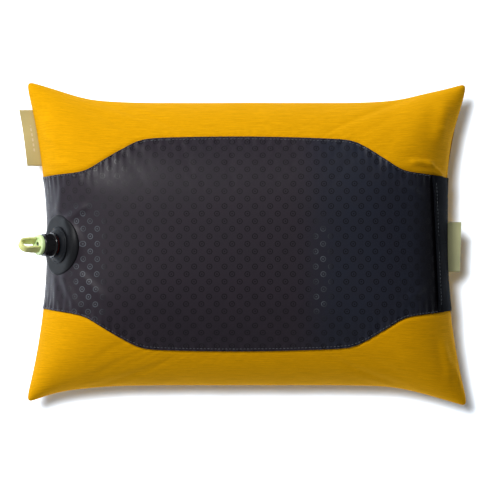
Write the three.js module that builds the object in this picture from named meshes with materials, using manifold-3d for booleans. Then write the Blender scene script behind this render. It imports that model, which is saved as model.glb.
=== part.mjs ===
// Inflatable camp pillow lying on its sleeping face, valve side up. Millimetres, +Z up.
// The origin is on the ground under the middle of the pillow, +X runs along its length and the
// valve points towards -X.
import * as THREE from "three";
import { mergeVertices } from "three/addons/utils/BufferGeometryUtils.js";
import Module from "manifold-3d";

const wasm = await Module();
wasm.setup();

// ---------------------------------------------------------------- driving dimensions

const pillow = {
  length: 388, // corner to corner along X, before the corners are rounded off
  width: 280, // corner to corner along Y, likewise
  seamHeight: 48, // perimeter seam above the ground
  backCrown: 52, // rise of the back face above the seam
  frontCrown: 54, // drop of the sleeping face below the seam before the ground flattens it
  sidePull: 20.3, // how far the short sides pull in between the corners
  edgePull: 17.7, // how far the long sides pull in between the corners
  cornerTrim: 4.5, // how much each corner is rounded off
};
// The short sides pull in as a parabola, the long sides stay straight until near the corners,
// and the crown is flatter along X than along Y. A crown power of 0.5 would be a round edge.
const bend = { side: 2, edge: 6, corner: 14, crownX: 7, crownY: 4, crownPower: 0.75 };

const cover = { thickness: 1.0, seamGap: 0.3, panelGap: 0.4 };
const backPanel = {
  narrowHalf: 57, // half height of the dark panel at the valve and at the flap
  wideHalf: 92.5, // half height in the middle
  leftRise: [-138, -95], // where the panel widens, along X
  rightFall: [87, 139], // where it narrows again
};
const flap = {
  freeEdge: 13.5, // how far the free edge lies inside the short side
  overlap: 7, // how far the flap covers the back panel, in plan
  clearance: 0.3, // between flap and panel
  thickness: 0.9,
  endGap: 1.2, // short of the wings at each end
  seamRise: 1.6, // starts this far above the seam plane
  opens: 35, // degrees
};
const thread = { radius: 0.35, clearance: 0.25, edgeOffset: 2.2 };
const binding = { clearance: 3.5, width: 4, thickness: 0.8 };
const core = {
  coverClearance: 0.6, // core shell inside the cover, at the crowns
  seamInset: 9, // core shell inside the cover, in plan
  shellThickness: 1.0,
  foamClearance: 0.6,
  foamInset: 6, // foam inside the core shell, in plan
  foamRim: 1.6, // height of the foam's edge at the seam
};

const labels = {
  thickness: 1.4,
  rootGap: 1.0,
  left: { side: -1, from: 67, to: 116, reachFrom: 12.5, reachTo: 12 },
  right: { side: 1, from: -24.4, to: 18, reachFrom: 9.8, reachTo: 11.6 },
};

// Valve: heights are along its own axis, from the outer face of the round patch.
const valve = {
  inset: 11.3, // axis foot inside the short side, in plan
  offset: -0.9, // axis foot along Y
  elevation: 34, // degrees of the axis above the ground
  gap: 0.3,
};
const patch = { radius: 19, thickness: 1.0, sink: 0.1 };
const weldFlange = { radius: 17.6, thickness: 1.6 };
const neck = { outer: 7.6, inner: 5.4, belowSleeve: 0.6 };
const collar = { radius: 15.5, thickness: 3.2, rim: 1.0, bore: 8.0 };
const sealRing = { radius: 9.9, thickness: 1.1 };
const barrel = { baseRadius: 10.5, endRadius: 9.3, height: 11.6, beadHeight: 1.6, lip: 4.2, ribs: 12 };
const post = { radius: 2.2, ring: 5.1, ringHeight: 2.4, seat: 5.5 };
const cap = {
  radius: 8.9,
  thickness: 3.6,
  hole: 2.6,
  sleeveOuter: 6.3,
  sleeveInner: 4.3,
  sleeveLength: 6.2,
  travel: 4,
};
const oRing = { wire: 0.5, fromEnd: 1.5 };
const pullLoop = {
  legSpacing: 10.5,
  thickness: 1.5,
  width: 7.5,
  reach: 17, // cap face to tip
  hingeRise: 1.9, // hinge line above the cap face
  clearance: 0.35,
  roll: 43, // degrees about the valve axis
};

// ---------------------------------------------------------------- materials

const finish = (color, roughness, metalness = 0) =>
  new THREE.MeshStandardMaterial({ color, roughness, metalness });
const mustard = finish(0xe0a010, 0.85);
const charcoal = finish(0x302e34, 0.55);
const ribbon = finish(0xb0a468, 0.8);
const darkThread = finish(0x3c4650, 0.6);
const shellFilm = finish(0x8a8f94, 0.45);
const foam = finish(0xe8e2cc, 0.95);
const blackPlastic = finish(0x08090a, 0.18);
const blackRubber = finish(0x14181a, 0.5);
const redSilicone = finish(0x8c1a12, 0.45);
const limePlastic = finish(0xc8dc9a, 0.5);
const limeStrap = finish(0xd4d878, 0.7);

// ---------------------------------------------------------------- solids

// A closed geometry as a manifold solid, with only its positions kept.
function solid(geometry) {
  const bare = geometry.clone();
  bare.deleteAttribute("normal");
  bare.deleteAttribute("uv");
  const merged = mergeVertices(bare, 1e-4);
  return new wasm.Manifold(
    new wasm.Mesh({
      numProp: 3,
      vertProperties: merged.attributes.position.array,
      triVerts: new Uint32Array(merged.index.array),
    }),
  );
}

function geometryOf(manifold) {
  const mesh = manifold.getMesh();
  const geometry = new THREE.BufferGeometry();
  geometry.setAttribute("position", new THREE.BufferAttribute(mesh.vertProperties, 3));
  geometry.setIndex(new THREE.BufferAttribute(mesh.triVerts, 1));
  geometry.computeVertexNormals();
  return geometry;
}

function piece(name, geometry, material, parent) {
  const mesh = new THREE.Mesh(geometry, material);
  mesh.name = name;
  parent.add(mesh);
  return mesh;
}

// An upright prism over a closed outline of [x, y] points.
function prism(points, low, high) {
  const outline = new THREE.Shape(points.map(([x, y]) => new THREE.Vector2(x, y)));
  const geometry = new THREE.ExtrudeGeometry(outline, { depth: high - low, bevelEnabled: false });
  return solid(geometry.translate(0, 0, low));
}

// ---------------------------------------------------------------- the pillow's surface

const halfLengthAt = (t, inset) =>
  pillow.length / 2 - inset - pillow.sidePull * (1 - Math.abs(t) ** bend.side);
const halfWidthAt = (s, inset) =>
  pillow.width / 2 - inset - pillow.edgePull * (1 - Math.abs(s) ** bend.edge);
const swell = (share, power) => Math.max(0, 1 - Math.abs(share) ** power) ** bend.crownPower;
const crown = (s, t) => swell(s, bend.crownX) * swell(t, bend.crownY);

// The plan point at s along the length and t across it, each from -1 to 1.
function planPoint(s, t, inset) {
  const trim = pillow.cornerTrim * Math.abs(s * t) ** bend.corner;
  return [
    s * halfLengthAt(t, inset) - Math.sign(s) * trim,
    t * halfWidthAt(s, inset) - Math.sign(t) * trim,
  ];
}

// Height of the back face, pushed inwards by depth, over a plan point.
function backHeight(x, y, depth) {
  let s = 0;
  let t = 0;
  for (let step = 0; step < 12; step += 1) {
    s = THREE.MathUtils.clamp(x / halfLengthAt(t, depth), -1, 1);
    t = THREE.MathUtils.clamp(y / halfWidthAt(s, depth), -1, 1);
  }
  return pillow.seamHeight + cover.seamGap / 2 + (pillow.backCrown - depth) * crown(s, t);
}

// A box whose flat sides are bent to the pillow: toPoint gets s, t and the share of the way up.
function bentBox(along, across, toPoint) {
  const geometry = new THREE.BoxGeometry(2, 2, 1, along, across, 1);
  const position = geometry.attributes.position;
  const even = (value) => Math.sin((value * Math.PI) / 2);
  for (let i = 0; i < position.count; i += 1) {
    const point = toPoint(even(position.getX(i)), even(position.getY(i)), position.getZ(i) + 0.5);
    position.setXYZ(i, ...point);
  }
  return geometry;
}

// The back half of a skin between two depths below the outer surface.
const backSkin = (outer, inner, extraInset, along, across) =>
  bentBox(along, across, (s, t, up) => {
    const depth = THREE.MathUtils.lerp(inner, outer, up);
    const rise = (pillow.backCrown - depth) * crown(s, t);
    return [...planPoint(s, t, depth + extraInset), pillow.seamHeight + cover.seamGap / 2 + rise];
  });

// The sleeping face's half, which lies flat where it would go through the ground.
const frontSkin = (outer, inner, extraInset, along, across) =>
  bentBox(along, across, (s, t, up) => {
    const depth = THREE.MathUtils.lerp(outer, inner, up);
    const drop = (pillow.frontCrown - depth) * crown(s, t);
    const height = pillow.seamHeight - cover.seamGap / 2 - drop;
    return [...planPoint(s, t, depth + extraInset), Math.max(depth, height)];
  });

// ---------------------------------------------------------------- the valve's place

const shortSide = pillow.length / 2 - pillow.sidePull;
const valveFoot = new THREE.Vector3(-(shortSide - valve.inset), valve.offset, 0);
valveFoot.z = backHeight(valveFoot.x, valveFoot.y, 0);
const valveTilt = THREE.MathUtils.degToRad(90 - valve.elevation);
const valvePlace = new THREE.Matrix4()
  .makeRotationY(-valveTilt)
  .setPosition(valveFoot.x, valveFoot.y, valveFoot.z);

// A round cutter along the valve's axis, from a height on it outwards.
function valveCutter(radius, from, to) {
  const geometry = new THREE.CylinderGeometry(radius, radius, to - from, 40);
  geometry.rotateX(Math.PI / 2).translate(0, 0, (from + to) / 2);
  return solid(geometry.applyMatrix4(valvePlace));
}

const CUTTER_REACH = 40;
const patchBottom = -patch.sink - patch.thickness;
const flangeTop = patchBottom - valve.gap;
const flangeBottom = flangeTop - weldFlange.thickness;

// ---------------------------------------------------------------- cover

const tall = pillow.seamHeight + pillow.backCrown + 20;
const beyond = pillow.length;

// Half height of the dark back panel at x.
function panelHalf(x) {
  const [riseFrom, riseTo] = backPanel.leftRise;
  const [fallFrom, fallTo] = backPanel.rightFall;
  const share =
    THREE.MathUtils.smoothstep(x, riseFrom, riseTo) -
    THREE.MathUtils.smoothstep(x, fallFrom, fallTo);
  return THREE.MathUtils.lerp(backPanel.narrowHalf, backPanel.wideHalf, share);
}

// Outline of the dark panel in plan, grown by a margin and ending at x = end.
function panelOutline(margin, end) {
  const [riseFrom, riseTo] = backPanel.leftRise;
  const [fallFrom, fallTo] = backPanel.rightFall;
  const stations = [-beyond];
  const steps = 6;
  for (let i = 0; i <= steps; i += 1) {
    stations.push(THREE.MathUtils.lerp(riseFrom, riseTo, i / steps));
  }
  for (let i = 0; i <= steps; i += 1) {
    stations.push(THREE.MathUtils.lerp(fallFrom, fallTo, i / steps));
  }
  stations.push(end);
  const upper = stations.map((x) => [x, panelHalf(x) + margin]);
  const lower = stations.map((x) => [x, -panelHalf(x) - margin]).reverse();
  return [...lower.reverse(), ...upper.reverse()];
}

const OUTER_GRID = [20, 18];
const INNER_GRID = [14, 12];
const flapFreeX = shortSide - flap.freeEdge;
const panelEndX = flapFreeX + flap.overlap;

function buildCover(group) {
  const back = solid(backSkin(0, cover.thickness, 0, ...OUTER_GRID));
  const front = frontSkin(0, cover.thickness, 0, ...OUTER_GRID);
  piece("cover_front_panel", front, mustard, group);

  const panelPrism = prism(panelOutline(0, panelEndX), 0, tall);
  const valveHole = valveCutter(patch.radius + valve.gap, patchBottom - valve.gap - 8, CUTTER_REACH);
  const panel = back.intersect(panelPrism).subtract(valveHole);
  piece("cover_back_panel", geometryOf(panel), charcoal, group);

  const wings = back
    .subtract(prism(panelOutline(cover.panelGap, beyond), 0, tall))
    .decompose()
    .sort((a, b) => a.boundingBox().min[1] - b.boundingBox().min[1]);
  piece("cover_wing_lower", geometryOf(wings[0]), mustard, group);
  piece("cover_wing_upper", geometryOf(wings[wings.length - 1]), mustard, group);
}

function buildFlap(group) {
  const depth = -flap.clearance;
  const skin = solid(backSkin(depth - flap.thickness, depth, 0, ...OUTER_GRID));
  const end = backPanel.narrowHalf - flap.endGap;
  const outline = [
    [flapFreeX, -end],
    [beyond, -end],
    [beyond, end],
    [flapFreeX, end],
  ];
  const strip = skin.intersect(prism(outline, pillow.seamHeight + flap.seamRise, tall));
  piece("cover_opening_flap", geometryOf(strip), charcoal, group);
}

// A row of stitches as one thin thread that follows the surface.
function stitchRow(name, points, material, group) {
  const path = new THREE.CatmullRomCurve3(points);
  const section = new THREE.Shape();
  section.absarc(0, 0, thread.radius, 0, Math.PI * 2);
  const geometry = new THREE.ExtrudeGeometry(section, {
    steps: 56,
    curveSegments: 3,
    bevelEnabled: false,
    extrudePath: path,
  });
  piece(name, geometry, material, group);
}

function buildStitching(group) {
  const lift = -(thread.clearance + thread.radius);
  const endMargin = 12;
  const start = -shortSide + endMargin;
  const stop = flapFreeX - thread.edgeOffset - 1;
  const stations = 40;
  for (const [name, sign] of [
    ["topstitch_upper", 1],
    ["topstitch_lower", -1],
  ]) {
    const points = [];
    for (let i = 0; i <= stations; i += 1) {
      const x = THREE.MathUtils.lerp(start, stop, i / stations);
      const y = sign * (panelHalf(x) - thread.edgeOffset);
      points.push(new THREE.Vector3(x, y, backHeight(x, y, lift)));
    }
    stitchRow(name, points, darkThread, group);
  }
  const hemLift = lift - flap.clearance - flap.thickness;
  const hemX = flapFreeX + thread.edgeOffset;
  const hemEnd = backPanel.narrowHalf - flap.endGap - 2;
  const hem = [];
  for (let i = 0; i <= stations / 2; i += 1) {
    const y = THREE.MathUtils.lerp(-hemEnd, hemEnd, (2 * i) / stations);
    hem.push(new THREE.Vector3(hemX, y, backHeight(hemX, y, hemLift)));
  }
  stitchRow("flap_hem_stitch", hem, darkThread, group);
}

// The bound seam allowance, a flat ring just inside the perimeter seam.
function buildBinding(group) {
  const outerInset = cover.thickness + binding.clearance;
  const ringPoints = (inset) => {
    const corners = [
      [-1, -1],
      [1, -1],
      [1, 1],
      [-1, 1],
    ];
    const perSide = 14;
    return corners.flatMap(([s, t], i) => {
      const [nextS, nextT] = corners[(i + 1) % corners.length];
      return Array.from({ length: perSide }, (_, k) => {
        const turn = (1 - Math.cos((Math.PI * k) / perSide)) / 2;
        const [x, y] = planPoint(
          THREE.MathUtils.lerp(s, nextS, turn),
          THREE.MathUtils.lerp(t, nextT, turn),
          inset,
        );
        return new THREE.Vector2(x, y);
      });
    });
  };
  const ring = new THREE.Shape(ringPoints(outerInset));
  ring.holes.push(new THREE.Path(ringPoints(outerInset + binding.width)));
  const geometry = new THREE.ExtrudeGeometry(ring, {
    depth: binding.thickness,
    bevelEnabled: false,
  });
  geometry.translate(0, 0, pillow.seamHeight - binding.thickness / 2);
  piece("cover_seam_binding", geometry, mustard, group);
}

// ---------------------------------------------------------------- labels

// The ends of a label's root, just outside the seam.
function labelRoot({ side, from, to }) {
  return [from, to].map((y) => {
    const edge = halfLengthAt(y / halfWidthAt(1, 0), 0);
    return new THREE.Vector2(side * (edge + labels.rootGap + flap.clearance + flap.thickness), y);
  });
}

function buildLabel(name, label, group) {
  const [low, high] = labelRoot(label);
  const outline = new THREE.Shape([
    low,
    new THREE.Vector2(low.x + label.side * label.reachFrom, low.y),
    new THREE.Vector2(high.x + label.side * label.reachTo, high.y),
    high,
  ]);
  const geometry = new THREE.ExtrudeGeometry(outline, {
    depth: labels.thickness,
    bevelEnabled: false,
  });
  geometry.translate(0, 0, pillow.seamHeight - labels.thickness / 2);
  piece(name, geometry, ribbon, group);
}

// ---------------------------------------------------------------- core

function buildCore(group) {
  const outer = cover.thickness + core.coverClearance;
  const inner = outer + core.shellThickness;
  const cutter = valveCutter(patch.radius + valve.gap, flangeBottom - valve.gap, CUTTER_REACH);
  const shellBack = solid(backSkin(outer, inner, core.seamInset, ...INNER_GRID)).subtract(cutter);
  piece("core_shell_back", geometryOf(shellBack), shellFilm, group);
  const shellFront = frontSkin(outer, inner, core.seamInset, ...INNER_GRID);
  piece("core_shell_front", shellFront, shellFilm, group);

  const depth = inner + core.foamClearance;
  const inset = core.seamInset + core.foamInset + depth;
  const block = bentBox(...INNER_GRID, (s, t, up) => {
    const rim = core.foamRim / 2;
    const rise = rim + (pillow.backCrown - depth - rim) * crown(s, t);
    const drop = rim + (pillow.frontCrown - depth - rim) * crown(s, t);
    const height = pillow.seamHeight + (up > 0.5 ? rise : -drop);
    return [...planPoint(s, t, inset), Math.max(depth, height)];
  });
  piece("foam_core", geometryOf(solid(block).subtract(cutter)), foam, group);
}

// ---------------------------------------------------------------- valve

const ROUND = 30;

// A turned piece about the valve's axis, from [radius, height] points.
function turned(profile) {
  const points = profile.map(([r, h]) => new THREE.Vector2(r, h));
  return new THREE.LatheGeometry([...points, points[0].clone()], ROUND).rotateX(Math.PI / 2);
}

// A cylinder along X, centred on a point.
function crossCylinder(radius, length, x, y, z) {
  const geometry = new THREE.CylinderGeometry(radius, radius, length, 32);
  return solid(geometry.rotateZ(Math.PI / 2).translate(x, y, z));
}

const collarBottom = -patch.sink + valve.gap;
const collarTop = collarBottom + collar.thickness;
const sealBottom = collarTop + valve.gap;
const barrelBottom = sealBottom + sealRing.thickness + valve.gap;
const barrelTop = barrelBottom + barrel.height;
const capBottom = barrelTop + valve.gap;
const capTop = capBottom + cap.thickness;
const sleeveBottom = capBottom - cap.sleeveLength;
const neckTop = sleeveBottom - neck.belowSleeve;
const barrelBore = neck.outer + valve.gap;
const lipBore = cap.sleeveOuter + valve.gap;
const hingeHeight = capTop + pullLoop.hingeRise;

function buildPatchAndFlange(group) {
  const patchRing = turned([
    [collar.bore + valve.gap, patchBottom],
    [patch.radius, patchBottom],
    [patch.radius, -patch.sink],
    [collar.bore + valve.gap, -patch.sink],
  ]);
  piece("valve_patch", patchRing, charcoal, group);
  const flange = turned([
    [neck.inner, flangeBottom],
    [weldFlange.radius, flangeBottom],
    [weldFlange.radius, flangeTop],
    [neck.outer, flangeTop],
    [neck.outer, neckTop],
    [neck.inner, neckTop],
  ]);
  piece("valve_weld_flange", flange, blackRubber, group);
}

function buildCollar(group) {
  const dome = turned([
    [collar.bore, collarBottom],
    [collar.radius, collarBottom],
    [collar.radius, collarBottom + collar.rim],
    [collar.radius - 2.5, collarBottom + collar.thickness * 0.62],
    [collar.radius - 5, collarTop],
    [collar.bore, collarTop],
  ]);
  piece("valve_collar", dome, blackRubber, group);
  const seal = turned([
    [collar.bore, sealBottom],
    [sealRing.radius, sealBottom],
    [sealRing.radius, sealBottom + sealRing.thickness],
    [collar.bore, sealBottom + sealRing.thickness],
  ]);
  piece("valve_seal_ring", seal, redSilicone, group);
}

function buildBarrel(group) {
  const lipBottom = barrelTop - barrel.lip;
  let body = solid(
    turned([
      [barrelBore, barrelBottom],
      [barrel.baseRadius, barrelBottom],
      [barrel.baseRadius, barrelBottom + barrel.beadHeight],
      [barrel.baseRadius - 0.6, barrelBottom + barrel.beadHeight + 0.6],
      [barrel.endRadius, barrelTop - 0.6],
      [barrel.endRadius - 0.6, barrelTop],
      [lipBore, barrelTop],
      [lipBore, lipBottom],
      [barrelBore, lipBottom],
    ]),
  );
  const ribLength = barrel.height - barrel.beadHeight - 2.4;
  const ribRadius = barrel.endRadius + 0.1;
  for (let i = 0; i < barrel.ribs; i += 1) {
    const turn = (i / barrel.ribs) * 2 * Math.PI;
    const rib = new THREE.BoxGeometry(0.8, 1.0, ribLength);
    const middle = barrelBottom + barrel.beadHeight + 1.2 + ribLength / 2;
    rib.translate(ribRadius, 0, middle).rotateZ(turn);
    body = body.add(solid(rib));
  }
  piece("valve_barrel", geometryOf(body), blackPlastic, group);
}

function buildPost(group) {
  const ringInner = post.ring - 0.9;
  const ring = solid(
    turned([
      [ringInner, post.seat],
      [post.ring, post.seat],
      [post.ring, post.seat + post.ringHeight],
      [ringInner, post.seat + post.ringHeight],
    ]),
  );
  const tip = capTop - 0.5;
  const stem = turned([
    [0, post.seat],
    [post.radius, post.seat],
    [post.radius, tip - 0.5],
    [post.radius - 0.5, tip],
    [0, tip],
  ]);
  let body = ring.add(solid(stem));
  const arms = 3;
  for (let i = 0; i < arms; i += 1) {
    const arm = new THREE.BoxGeometry(ringInner, 1.2, post.ringHeight - 0.4);
    arm.translate((ringInner + 0.4) / 2 + 0.1, 0, post.seat + post.ringHeight / 2);
    body = body.add(solid(arm.rotateZ((i / arms) * 2 * Math.PI)));
  }
  piece("valve_centre_post", geometryOf(body), blackPlastic, group);
}

function buildCap(group) {
  const grooveDepth = 0.9;
  const grooveHalf = oRing.wire + 0.3;
  const groove = sleeveBottom + oRing.fromEnd;
  const edge = 0.8;
  let body = solid(
    turned([
      [cap.sleeveInner, sleeveBottom],
      [cap.sleeveOuter, sleeveBottom],
      [cap.sleeveOuter, groove - grooveHalf],
      [cap.sleeveOuter - grooveDepth, groove - grooveHalf],
      [cap.sleeveOuter - grooveDepth, groove + grooveHalf],
      [cap.sleeveOuter, groove + grooveHalf],
      [cap.sleeveOuter, capBottom],
      [cap.radius - edge, capBottom],
      [cap.radius, capBottom + edge],
      [cap.radius, capTop - edge],
      [cap.radius - edge, capTop],
      [cap.hole, capTop],
      [cap.hole, capBottom + 1],
      [cap.sleeveInner, capBottom + 1],
    ]),
  );
  const legReach = pullLoop.width / 2 + pullLoop.clearance;
  const slotWidth = pullLoop.thickness + 2 * pullLoop.clearance;
  for (const sign of [-1, 1]) {
    const slot = crossCylinder(legReach, slotWidth, (sign * pullLoop.legSpacing) / 2, 0, hingeHeight);
    body = body.subtract(slot);
  }
  piece("valve_pull_cap", geometryOf(body), limePlastic, group);

  const ringRadius = cap.sleeveOuter - grooveDepth + oRing.wire + 0.15;
  const ring = new THREE.TorusGeometry(ringRadius, oRing.wire, 8, ROUND);
  piece("valve_cap_o_ring", ring.translate(0, 0, groove), blackRubber, group);
}

// The strap is bent to a loop across X, with round leg ends that turn in the cap's two slots.
function buildPullLoop(group) {
  const outer = (pullLoop.legSpacing + pullLoop.thickness) / 2;
  const inner = outer - pullLoop.thickness;
  const foot = hingeHeight - pullLoop.width / 2;
  const bendHeight = capTop + pullLoop.reach - outer;
  const outline = new THREE.Shape();
  outline.moveTo(outer, foot);
  outline.lineTo(outer, bendHeight);
  outline.absarc(0, bendHeight, outer, 0, Math.PI, false);
  outline.lineTo(-outer, foot);
  outline.lineTo(-inner, foot);
  outline.lineTo(-inner, bendHeight);
  outline.absarc(0, bendHeight, inner, Math.PI, 0, true);
  outline.lineTo(inner, foot);
  const strap = new THREE.ExtrudeGeometry(outline, {
    depth: pullLoop.width,
    bevelEnabled: false,
    curveSegments: 10,
  });
  strap.translate(0, 0, -pullLoop.width / 2).rotateX(Math.PI / 2);

  const side = new THREE.Shape();
  const half = pullLoop.width / 2;
  side.moveTo(-half, capTop + pullLoop.reach + 1);
  side.lineTo(-half, hingeHeight);
  side.absarc(0, hingeHeight, half, Math.PI, Math.PI * 2, false);
  side.lineTo(half, capTop + pullLoop.reach + 1);
  const rounded = new THREE.ExtrudeGeometry(side, {
    depth: 4 * outer,
    bevelEnabled: false,
    curveSegments: 10,
  });
  rounded.translate(0, 0, -2 * outer).rotateX(Math.PI / 2).rotateZ(Math.PI / 2);
  piece("valve_pull_loop", geometryOf(solid(strap).intersect(solid(rounded))), limeStrap, group);
}

// ---------------------------------------------------------------- assembly

const campPillow = new THREE.Group();
buildCover(campPillow);
buildFlap(campPillow);
buildStitching(campPillow);
buildBinding(campPillow);
buildLabel("label_tab_left", labels.left, campPillow);
buildLabel("label_tab_right", labels.right, campPillow);
buildCore(campPillow);

const valveGroup = new THREE.Group();
valveGroup.applyMatrix4(valvePlace);
buildPatchAndFlange(valveGroup);
buildCollar(valveGroup);
buildBarrel(valveGroup);
buildPost(valveGroup);
campPillow.add(valveGroup);

// The cap's slots and the loop are turned together about the valve's axis. At no roll the legs
// stand apart along the group's X, which the quarter turn lays along the pillow's Y.
const capGroup = new THREE.Group();
capGroup.rotation.z = THREE.MathUtils.degToRad(90 + pullLoop.roll);
buildCap(capGroup);
buildPullLoop(capGroup);
valveGroup.add(capGroup);

export default campPillow;
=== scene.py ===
"""An inflatable camp pillow with a mustard and charcoal cover, two labels and an air valve."""

import math

import bmesh
import bpy
import numpy as np
from mathutils import Matrix, Vector
from mathutils.bvhtree import BVHTree


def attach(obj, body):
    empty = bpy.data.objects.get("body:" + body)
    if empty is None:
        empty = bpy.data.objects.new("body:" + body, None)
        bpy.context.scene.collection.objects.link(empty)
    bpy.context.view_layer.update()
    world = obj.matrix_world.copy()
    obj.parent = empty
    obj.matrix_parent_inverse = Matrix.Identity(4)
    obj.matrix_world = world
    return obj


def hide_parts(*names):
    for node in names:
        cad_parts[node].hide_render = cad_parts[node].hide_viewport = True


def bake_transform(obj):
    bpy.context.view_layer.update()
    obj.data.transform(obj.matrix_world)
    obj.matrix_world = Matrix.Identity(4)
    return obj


bl_info = {
    "name": "Camp Pillow",
    "version": (1, 0, 0),
    "blender": (4, 5, 0),
    "location": "View3D > Sidebar > Camp Pillow",
    "description": "Builds an inflatable camp pillow round its packed frame",
    "category": "Add Mesh",
}

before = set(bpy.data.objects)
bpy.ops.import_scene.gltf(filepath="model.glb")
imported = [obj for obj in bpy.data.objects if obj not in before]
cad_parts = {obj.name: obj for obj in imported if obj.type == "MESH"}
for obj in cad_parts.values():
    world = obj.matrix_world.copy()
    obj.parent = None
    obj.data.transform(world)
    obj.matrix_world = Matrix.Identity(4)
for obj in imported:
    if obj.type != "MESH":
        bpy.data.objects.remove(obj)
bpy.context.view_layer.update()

# ------------------------------------------------------------------ the pillow's sizes, in metres

HALF_LENGTH = 0.1935
HALF_WIDTH = 0.1425
SIDE_PULL = 0.0198
EDGE_PULL = 0.0202
CORNER_TRIM = 0.0052
SEAM_HEIGHT = 0.048
BACK_RISE = 0.052
FRONT_DROP = 0.054
BEND_SIDE, BEND_EDGE, BEND_CORNER = 2, 6, 27
CROWN_X, CROWN_Y, CROWN_POWER = 7, 4, 0.75

VALVE_FOOT = Vector((-0.1624, -0.0009, 0.073095))
VALVE_TILT = math.radians(56)
VALVE_AXIS = Vector((-math.sin(VALVE_TILT), 0, math.cos(VALVE_TILT)))
VALVE_PLACE = Matrix.Translation(VALVE_FOOT) @ Matrix.Rotation(-VALVE_TILT, 4, "Y")

# Rows of the cover's mesh: each wing, the charcoal panel between its two seams, and columns.
WING_ROWS, PANEL_ROWS, COLUMNS = 22, 60, 128
STITCH_INSET = 0.0018

# Cloth thicknesses of the mustard cloth, the charcoal cloth and the core film.
MUSTARD_CLOTH, CHARCOAL_CLOTH, CORE_FILM = 0.0006, 0.0005, 0.0005

LOW_SEAM, HIGH_SEAM = WING_ROWS, WING_ROWS + PANEL_ROWS
ROWS = 2 * WING_ROWS + PANEL_ROWS


# ------------------------------------------------------------------ properties


def colour(name, description, default):
    """A colour property, in linear light."""
    return bpy.props.FloatVectorProperty(
        name=name,
        description=description,
        subtype="COLOR",
        size=3,
        min=0,
        max=1,
        default=default,
    )


class CampPillowCover(bpy.types.PropertyGroup):
    mustard: colour("Mustard", "Colour of the soft face and the wings", (0.60, 0.284, 0.0010))
    charcoal: colour("Charcoal", "Colour of the smooth back panel", (0.0190, 0.0163, 0.0240))
    thread: colour("Thread", "Colour of the topstitching", (0.045, 0.050, 0.060))
    pressure: bpy.props.FloatProperty(
        name="Pressure",
        description="How hard the air core pushes on the cloth while it settles",
        default=25.0,
        min=0,
        max=60,
    )
    pucker: bpy.props.FloatProperty(
        name="Seam pucker",
        description="How much the sewn seams draw the cloth in",
        default=0.015,
        min=0,
        max=0.3,
    )
    stiffness: bpy.props.FloatProperty(
        name="Stiffness",
        description="How strongly the cloth resists bending",
        default=0.5,
        min=0,
        max=5,
    )
    settle_frames: bpy.props.IntProperty(
        name="Settling frames",
        description="Frames that the cloth is left to settle for",
        default=24,
        min=1,
        max=60,
    )
    motif_pitch: bpy.props.FloatProperty(
        name="Motif pitch",
        description="Distance between printed rings in a row",
        default=0.0128,
        min=0.004,
        max=0.05,
        unit="LENGTH",
    )


class CampPillowLabels(bpy.types.PropertyGroup):
    khaki: colour("Khaki", "Colour of the left label", (0.40, 0.31, 0.11))
    olive: colour("Olive", "Colour of the right label", (0.78, 0.78, 0.42))


class CampPillowValve(bpy.types.PropertyGroup):
    cap: colour("Cap", "Colour of the pull cap", (0.58, 0.74, 0.36))
    strap: colour("Strap", "Colour of the ribbed pull loop", (0.68, 0.70, 0.26))
    rubber: colour("Collar rubber", "Colour of the soft collar", (0.003, 0.004, 0.006))


class CampPillowStage(bpy.types.PropertyGroup):
    floor: colour("Floor", "Colour of the studio floor", (0.78, 0.86, 0.96))
    key_power: bpy.props.FloatProperty(
        name="Key light",
        description="Strength of the large light at the upper left",
        default=28.0,
        min=0,
        unit="POWER",
    )
    floor_power: bpy.props.FloatProperty(
        name="Floor light",
        description="Strength of the light over the floor",
        default=104.0,
        min=0,
        unit="POWER",
    )
    fill: bpy.props.FloatProperty(
        name="Fill",
        description="Strength of the even light all round",
        default=0.49,
        min=0,
        max=2,
    )
    view_width: bpy.props.FloatProperty(
        name="View width",
        description="Width of ground the camera takes in",
        default=0.433,
        min=0.1,
        unit="LENGTH",
    )


# ------------------------------------------------------------------ the surface the cover starts from


def swell(share, power):
    return np.maximum(0.0, 1 - np.abs(share) ** power) ** CROWN_POWER


def half_length_at(t, inset=0.0):
    return HALF_LENGTH - inset - SIDE_PULL * (1 - np.abs(t) ** BEND_SIDE)


def half_width_at(s, inset=0.0):
    return HALF_WIDTH - inset - EDGE_PULL * (1 - np.abs(s) ** BEND_EDGE)


def plan_point(s, t, inset=0.0):
    trim = CORNER_TRIM * np.abs(s * t) ** BEND_CORNER
    x = s * half_length_at(t, inset) - np.sign(s) * trim
    y = t * half_width_at(s, inset) - np.sign(t) * trim
    return x, y


def surface(s, t, side, depth=0.0, inset=0.0):
    """Points of the back (side 1) or the sleeping face (side -1), pushed inwards by depth."""
    x, y = plan_point(s, t, depth + inset)
    crown = swell(s, CROWN_X) * swell(t, CROWN_Y)
    if side > 0:
        z = SEAM_HEIGHT + (BACK_RISE - depth) * crown
    else:
        z = np.maximum(depth, SEAM_HEIGHT - (FRONT_DROP - depth) * crown)
    return np.stack([x, y, z], -1)


def soft_ramp(x, start, stop, rounding=0.0042):
    """0 before start and 1 after stop, straight between them, with rounded corners."""

    def rounded(v):
        return np.logaddexp(0.0, v / rounding) * rounding

    return (rounded(x - start) - rounded(x - stop)) / (stop - start)


def panel_half(x):
    """Half height of the charcoal panel at x."""
    narrow = 0.0565 + 0.13 * np.maximum(0.0, 0.174 - np.abs(x))
    wide = 0.0926 - 0.30 * (x + 0.01) ** 2
    share = soft_ramp(x, -0.139, -0.091) - soft_ramp(x, 0.091, 0.135)
    return narrow + (wide - narrow) * share


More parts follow.
